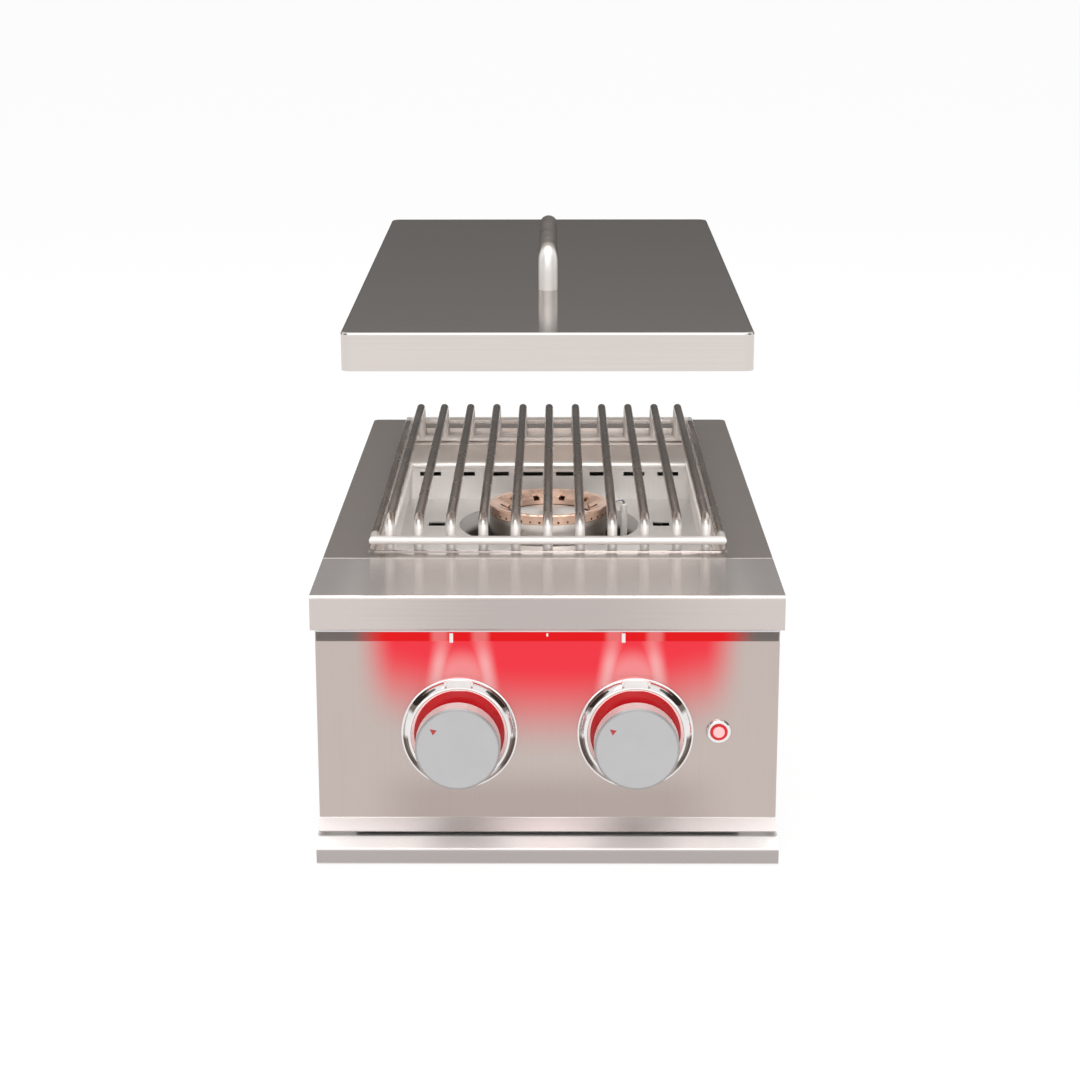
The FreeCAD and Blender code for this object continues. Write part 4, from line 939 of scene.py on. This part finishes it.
# %% Eleven rods
PITCH, OUTER_PITCH, EVEN_RODS = 26.1 * MM, 23.4 * MM, 4
rods = [rod]
for step in (-5, -4, -3, -2, -1, 1, 2, 3, 4, 5):
    select_only(rod)
    bpy.ops.object.duplicate(linked=False)
    copy = bpy.context.object
    copy.name = "rod_" + ("l" if step < 0 else "r") + str(abs(step))
    even, outer = min(abs(step), EVEN_RODS), max(abs(step) - EVEN_RODS, 0)
    copy.location.x = math.copysign(even * PITCH + outer * OUTER_PITCH, step)
    bpy.ops.object.transform_apply(location=True, rotation=True, scale=True)
    rods.append(copy)
rod_set = joined(*rods)
rod_set.name = "grate_rods_bent"
claim(rod_set, "grate_rods")
lit_from_front.objects.link(rod_set)
print("rods:", len(rods))

# %% The lid's handle
HANDLE, HANDLE_BEND, HANDLE_RISE, HANDLE_SINK = 8.0 * MM, 15 * MM, 30 * MM, 0.4 * MM
LID_RISE, LID_DEPTH = 16.0, 596.0
lid_high = corners_of("lid_panel")[1]
handle_low, handle_high = corners_of("lid_handle")
handle_legs = (handle_low.y + HANDLE, handle_high.y - HANDLE)
lid_tops = [lid_high.z - (lid_high.y - y) * LID_RISE / LID_DEPTH for y in handle_legs]
handle = bent_bar("lid_handle_bent", HANDLE, HANDLE_BEND, handle_legs,
                  [top - HANDLE_SINK for top in lid_tops],
                  [top + HANDLE_RISE for top in lid_tops], rings=48)
handle.data.materials.append(handle_finish)
claim(handle, "lid_handle")
print("handle legs at y =", [round(y, 4) for y in handle_legs])

# %% [markdown]
# ## Light windows
#
# A pale window sits in the top of each bezel between two small clips. Each starts as a cube. The
# window is cut across so that its lower part can lean back along the bezel's lip, and then its
# edges are rounded.

# %% Rounded cubes
def rounded_cube(name, low, high, radius):
    """A cube between two corners in metres, with rounded edges."""
    low, high = Vector(low), Vector(high)
    deselect()
    bpy.ops.mesh.primitive_cube_add(size=1, location=(low + high) / 2)
    piece = bpy.context.object
    piece.name = name
    piece.scale = high - low
    bpy.ops.object.transform_apply(location=True, rotation=True, scale=True)
    bevel = piece.modifiers.new("round edges", "BEVEL")
    bevel.width = radius
    bevel.segments = 3
    return piece


def finish_piece(piece, finish):
    """Apply a piece's modifiers, shade it smoothly and give it a finish."""
    select_only(piece)
    for modifier in list(piece.modifiers):
        bpy.ops.object.modifier_apply(modifier=modifier.name)
    bpy.ops.object.shade_smooth_by_angle(angle=SHARP)
    piece.data.materials.append(finish)


def lean_back(piece, height, depth):
    """Cut a window across and lean the part below the cut back by a depth."""
    select_only(piece)
    bpy.ops.object.mode_set(mode="EDIT")
    bpy.ops.mesh.select_all(action="SELECT")
    bpy.ops.mesh.bisect(plane_co=(0, 0, height), plane_no=(0, 0, 1))
    bpy.ops.mesh.select_all(action="DESELECT")
    bpy.ops.object.mode_set(mode="OBJECT")
    hair = 1e-5
    front = min(corner.co.y for corner in piece.data.vertices) + hair
    foot = min(corner.co.z for corner in piece.data.vertices) + hair
    for corner in piece.data.vertices:
        corner.select = corner.co.y < front and corner.co.z < foot
    bpy.ops.object.mode_set(mode="EDIT")
    bpy.ops.transform.translate(value=(0, depth, 0))
    bpy.ops.object.mode_set(mode="OBJECT")


# %% Windows and clips
PROUD, WINDOW_HALF, WINDOW_CUT, WINDOW_LEAN = 9.5 * MM, 8.8 * MM, 39.3 * MM, 4.6 * MM
WINDOW_BACK, WINDOW_FOOT, WINDOW_TOP = 4.1 * MM, 34.6 * MM, 43.8 * MM
CLIP_BACK, CLIP_FOOT, CLIP_HEAD = 6 * MM, 38.2 * MM, 43.2 * MM
CLIP_IN, CLIP_OUT = 9.0 * MM, 11.2 * MM
window_parts = []
for side, sign in (("left", -1), ("right", 1)):
    middle, front = sign * KNOB_X, PANEL_Y - PROUD
    window = rounded_cube(
        side + "_window", (middle - WINDOW_HALF, front, KNOB_Z + WINDOW_FOOT),
        (middle + WINDOW_HALF, PANEL_Y - WINDOW_BACK, KNOB_Z + WINDOW_TOP), 0.3 * MM)
    lean_back(window, KNOB_Z + WINDOW_CUT, WINDOW_LEAN)
    finish_piece(window, finishes["window_lens"])
    window_parts.append(window)
    for edge, mark in ((-1, "a"), (1, "b")):
        near, far = sorted((middle + edge * CLIP_IN, middle + edge * CLIP_OUT))
        clip = rounded_cube(side + "_clip_" + mark, (near, front, KNOB_Z + CLIP_FOOT),
                            (far, PANEL_Y - CLIP_BACK, KNOB_Z + CLIP_HEAD), 0.35 * MM)
        finish_piece(clip, finishes["chrome"])
        window_parts.append(clip)
windows = joined(*window_parts)
windows.name = "windows_rounded"
claim(windows, "bezel_windows")
print("windows:", len(windows.data.polygons), "faces")

# %% [markdown]
# ## Bar clips
#
# Two pale clips hold the light bar under the lip, with a small one between them. They grip the
# bar's front and rest against the channel behind it.

# %% Clips on the bar
CLIP_TOP = 186.0 * MM
bar_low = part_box("light_bar")[0]
bar_clips = []
for name, middle, half, rise in (("bar_clip_left", -0.073, 1.5, -0.4),
                                 ("bar_clip_right", 0.058, 1.5, -0.4),
                                 ("bar_clip_middle", 0.0, 0.8, 4.6)):
    clip = rounded_cube(name, (middle - half * MM, bar_low[1] - 0.9 * MM, bar_low[2] + rise * MM),
                        (middle + half * MM, bar_low[1] + 2 * MM, CLIP_TOP), 0.4 * MM)
    finish_piece(clip, finishes["polished_steel"])
    bar_clips.append(clip)
bar_clip_set = joined(*bar_clips)
bar_clip_set.name = "light_bar_clips"
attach(bar_clip_set, "root")
print("bar clips:", len(bar_clips))

# %% [markdown]
# ## Light button
#
# The button at the right is a small chrome collar round a lit cap. The cap is a shallow dome with
# a groove, pale in the middle and red round it.

# %% Collar
low, high = corners_of("button_ring")
button_place = ((low.x + high.x) / 2, PANEL_Y, (low.z + high.z) / 2)
collar_outline = [(6.6, 2.2), (6.9, 2.45), (7.4, 2.5), (8.2, 2.4), (9.0, 1.95), (9.6, 1.3),
                  (9.9, 0.6), (10, 0), (8, 0), (8, -17), (6.6, -17), (6.6, 2.2)]
nut_outline = [(8, -1), (11, -1), (11, -4), (8, -4), (8, -1)]
collar = turned("button_collar", button_place, FRONT, collar_outline, steps=72)
collar.data.materials.append(finishes["chrome"])
nut = turned("button_nut", button_place, FRONT, nut_outline, steps=6)
nut.data.materials.append(finishes["screw_steel"])
claim(joined(nut, collar), "button_ring")
print("button at", [round(v, 4) for v in button_place])

# %% Cap
GROOVE_RADIUS = 4.4 * MM
cap_outline = [(0.02, -4), (6.4, -4), (6.4, 2.6), (6.1, 3.0), (5.3, 3.05), (4.9, 2.6), (4.5, 2.6),
               (4.2, 3.2), (3.6, 3.65), (2.4, 3.9), (1.0, 4.0), (0.02, 4.0)]
cap = turned("button_dome", button_place, FRONT, cap_outline, steps=72)
cap.data.materials.append(finishes["button_lens"])
cap.data.materials.append(finishes["red_lens"])
for face in cap.data.polygons:
    out = math.hypot(face.center.x - button_place[0], face.center.z - button_place[2])
    face.material_index = int(out > GROOVE_RADIUS)
claim(cap, "button_cap")
print("cap:", len(cap.data.polygons), "faces")

# %% [markdown]
# ## Gas inlet
#
# The hose screws on at the back. The fitting is turned from hexagon bar: a six-sided collar with
# its corners turned off, and a thread whose ridges are drawn one by one in the outline.

# %% Hexagon, thread and bore
SPIGOT, RIDGES, RIDGE_STEP, FIRST_RIDGE = 20 * MM, 8, 1.15, 8.7
low, high = corners_of("gas_inlet_fitting")
inlet_place = ((low.x + high.x) / 2, high.y - SPIGOT, (low.z + high.z) / 2)
hexagon_outline = [(4.8, 0), (14.2, 0), (15.58, 0.9), (15.58, 7.1), (14.2, 8), (4.8, 8), (4.8, 0)]
thread_outline = [(4.8, -6), (10.6, -6), (10.6, 0), (7.1, 0), (7.1, 8.3)]
for ridge in range(RIDGES):
    start = FIRST_RIDGE + ridge * RIDGE_STEP
    thread_outline += [(7.94, start), (7.94, start + 0.3), (7.1, start + 0.65), (7.1, start + 0.8)]
thread_outline += [(7.0, 18.2), (5.4, 20), (4.8, 20), (4.8, -6)]
hexagon = turned("inlet_hexagon", inlet_place, BACK, hexagon_outline, steps=6)
hexagon.data.materials.append(finishes["valve_brass"])
thread = turned("inlet_thread", inlet_place, BACK, thread_outline, steps=64)
thread.data.materials.append(finishes["valve_brass"])
claim(joined(hexagon, thread), "gas_inlet_fitting")
print("gas inlet at", [round(v, 4) for v in inlet_place])

# %% [markdown]
# ## Springs
#
# A knob or the button pushes its spring together. The spring is a copy of the solid one, with its
# loose triangles merged and its faces shaded smoothly.

# %% Three springs
KNOB_TRAVEL, BUTTON_TRAVEL = 3.0 * MM, 1.5 * MM
for node, joint, travel in (("left_valve_spring", "left_knob_push", KNOB_TRAVEL),
                            ("right_valve_spring", "right_knob_push", KNOB_TRAVEL),
                            ("button_spring", "light_button_push", BUTTON_TRAVEL)):
    low, high = corners_of(node)
    select_only(nodes[node])
    bpy.ops.object.duplicate(linked=False)
    spring = bpy.context.object
    spring.name = node + "_live"
    for mark in list(spring.keys()):
        del spring[mark]
    bpy.ops.object.mode_set(mode="EDIT")
    bpy.ops.mesh.select_all(action="SELECT")
    bpy.ops.mesh.remove_doubles(threshold=WELD)
    bpy.ops.object.mode_set(mode="OBJECT")
    bpy.ops.object.shade_smooth_by_angle(angle=math.radians(60))
    claim(spring, node)
    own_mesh(spring)
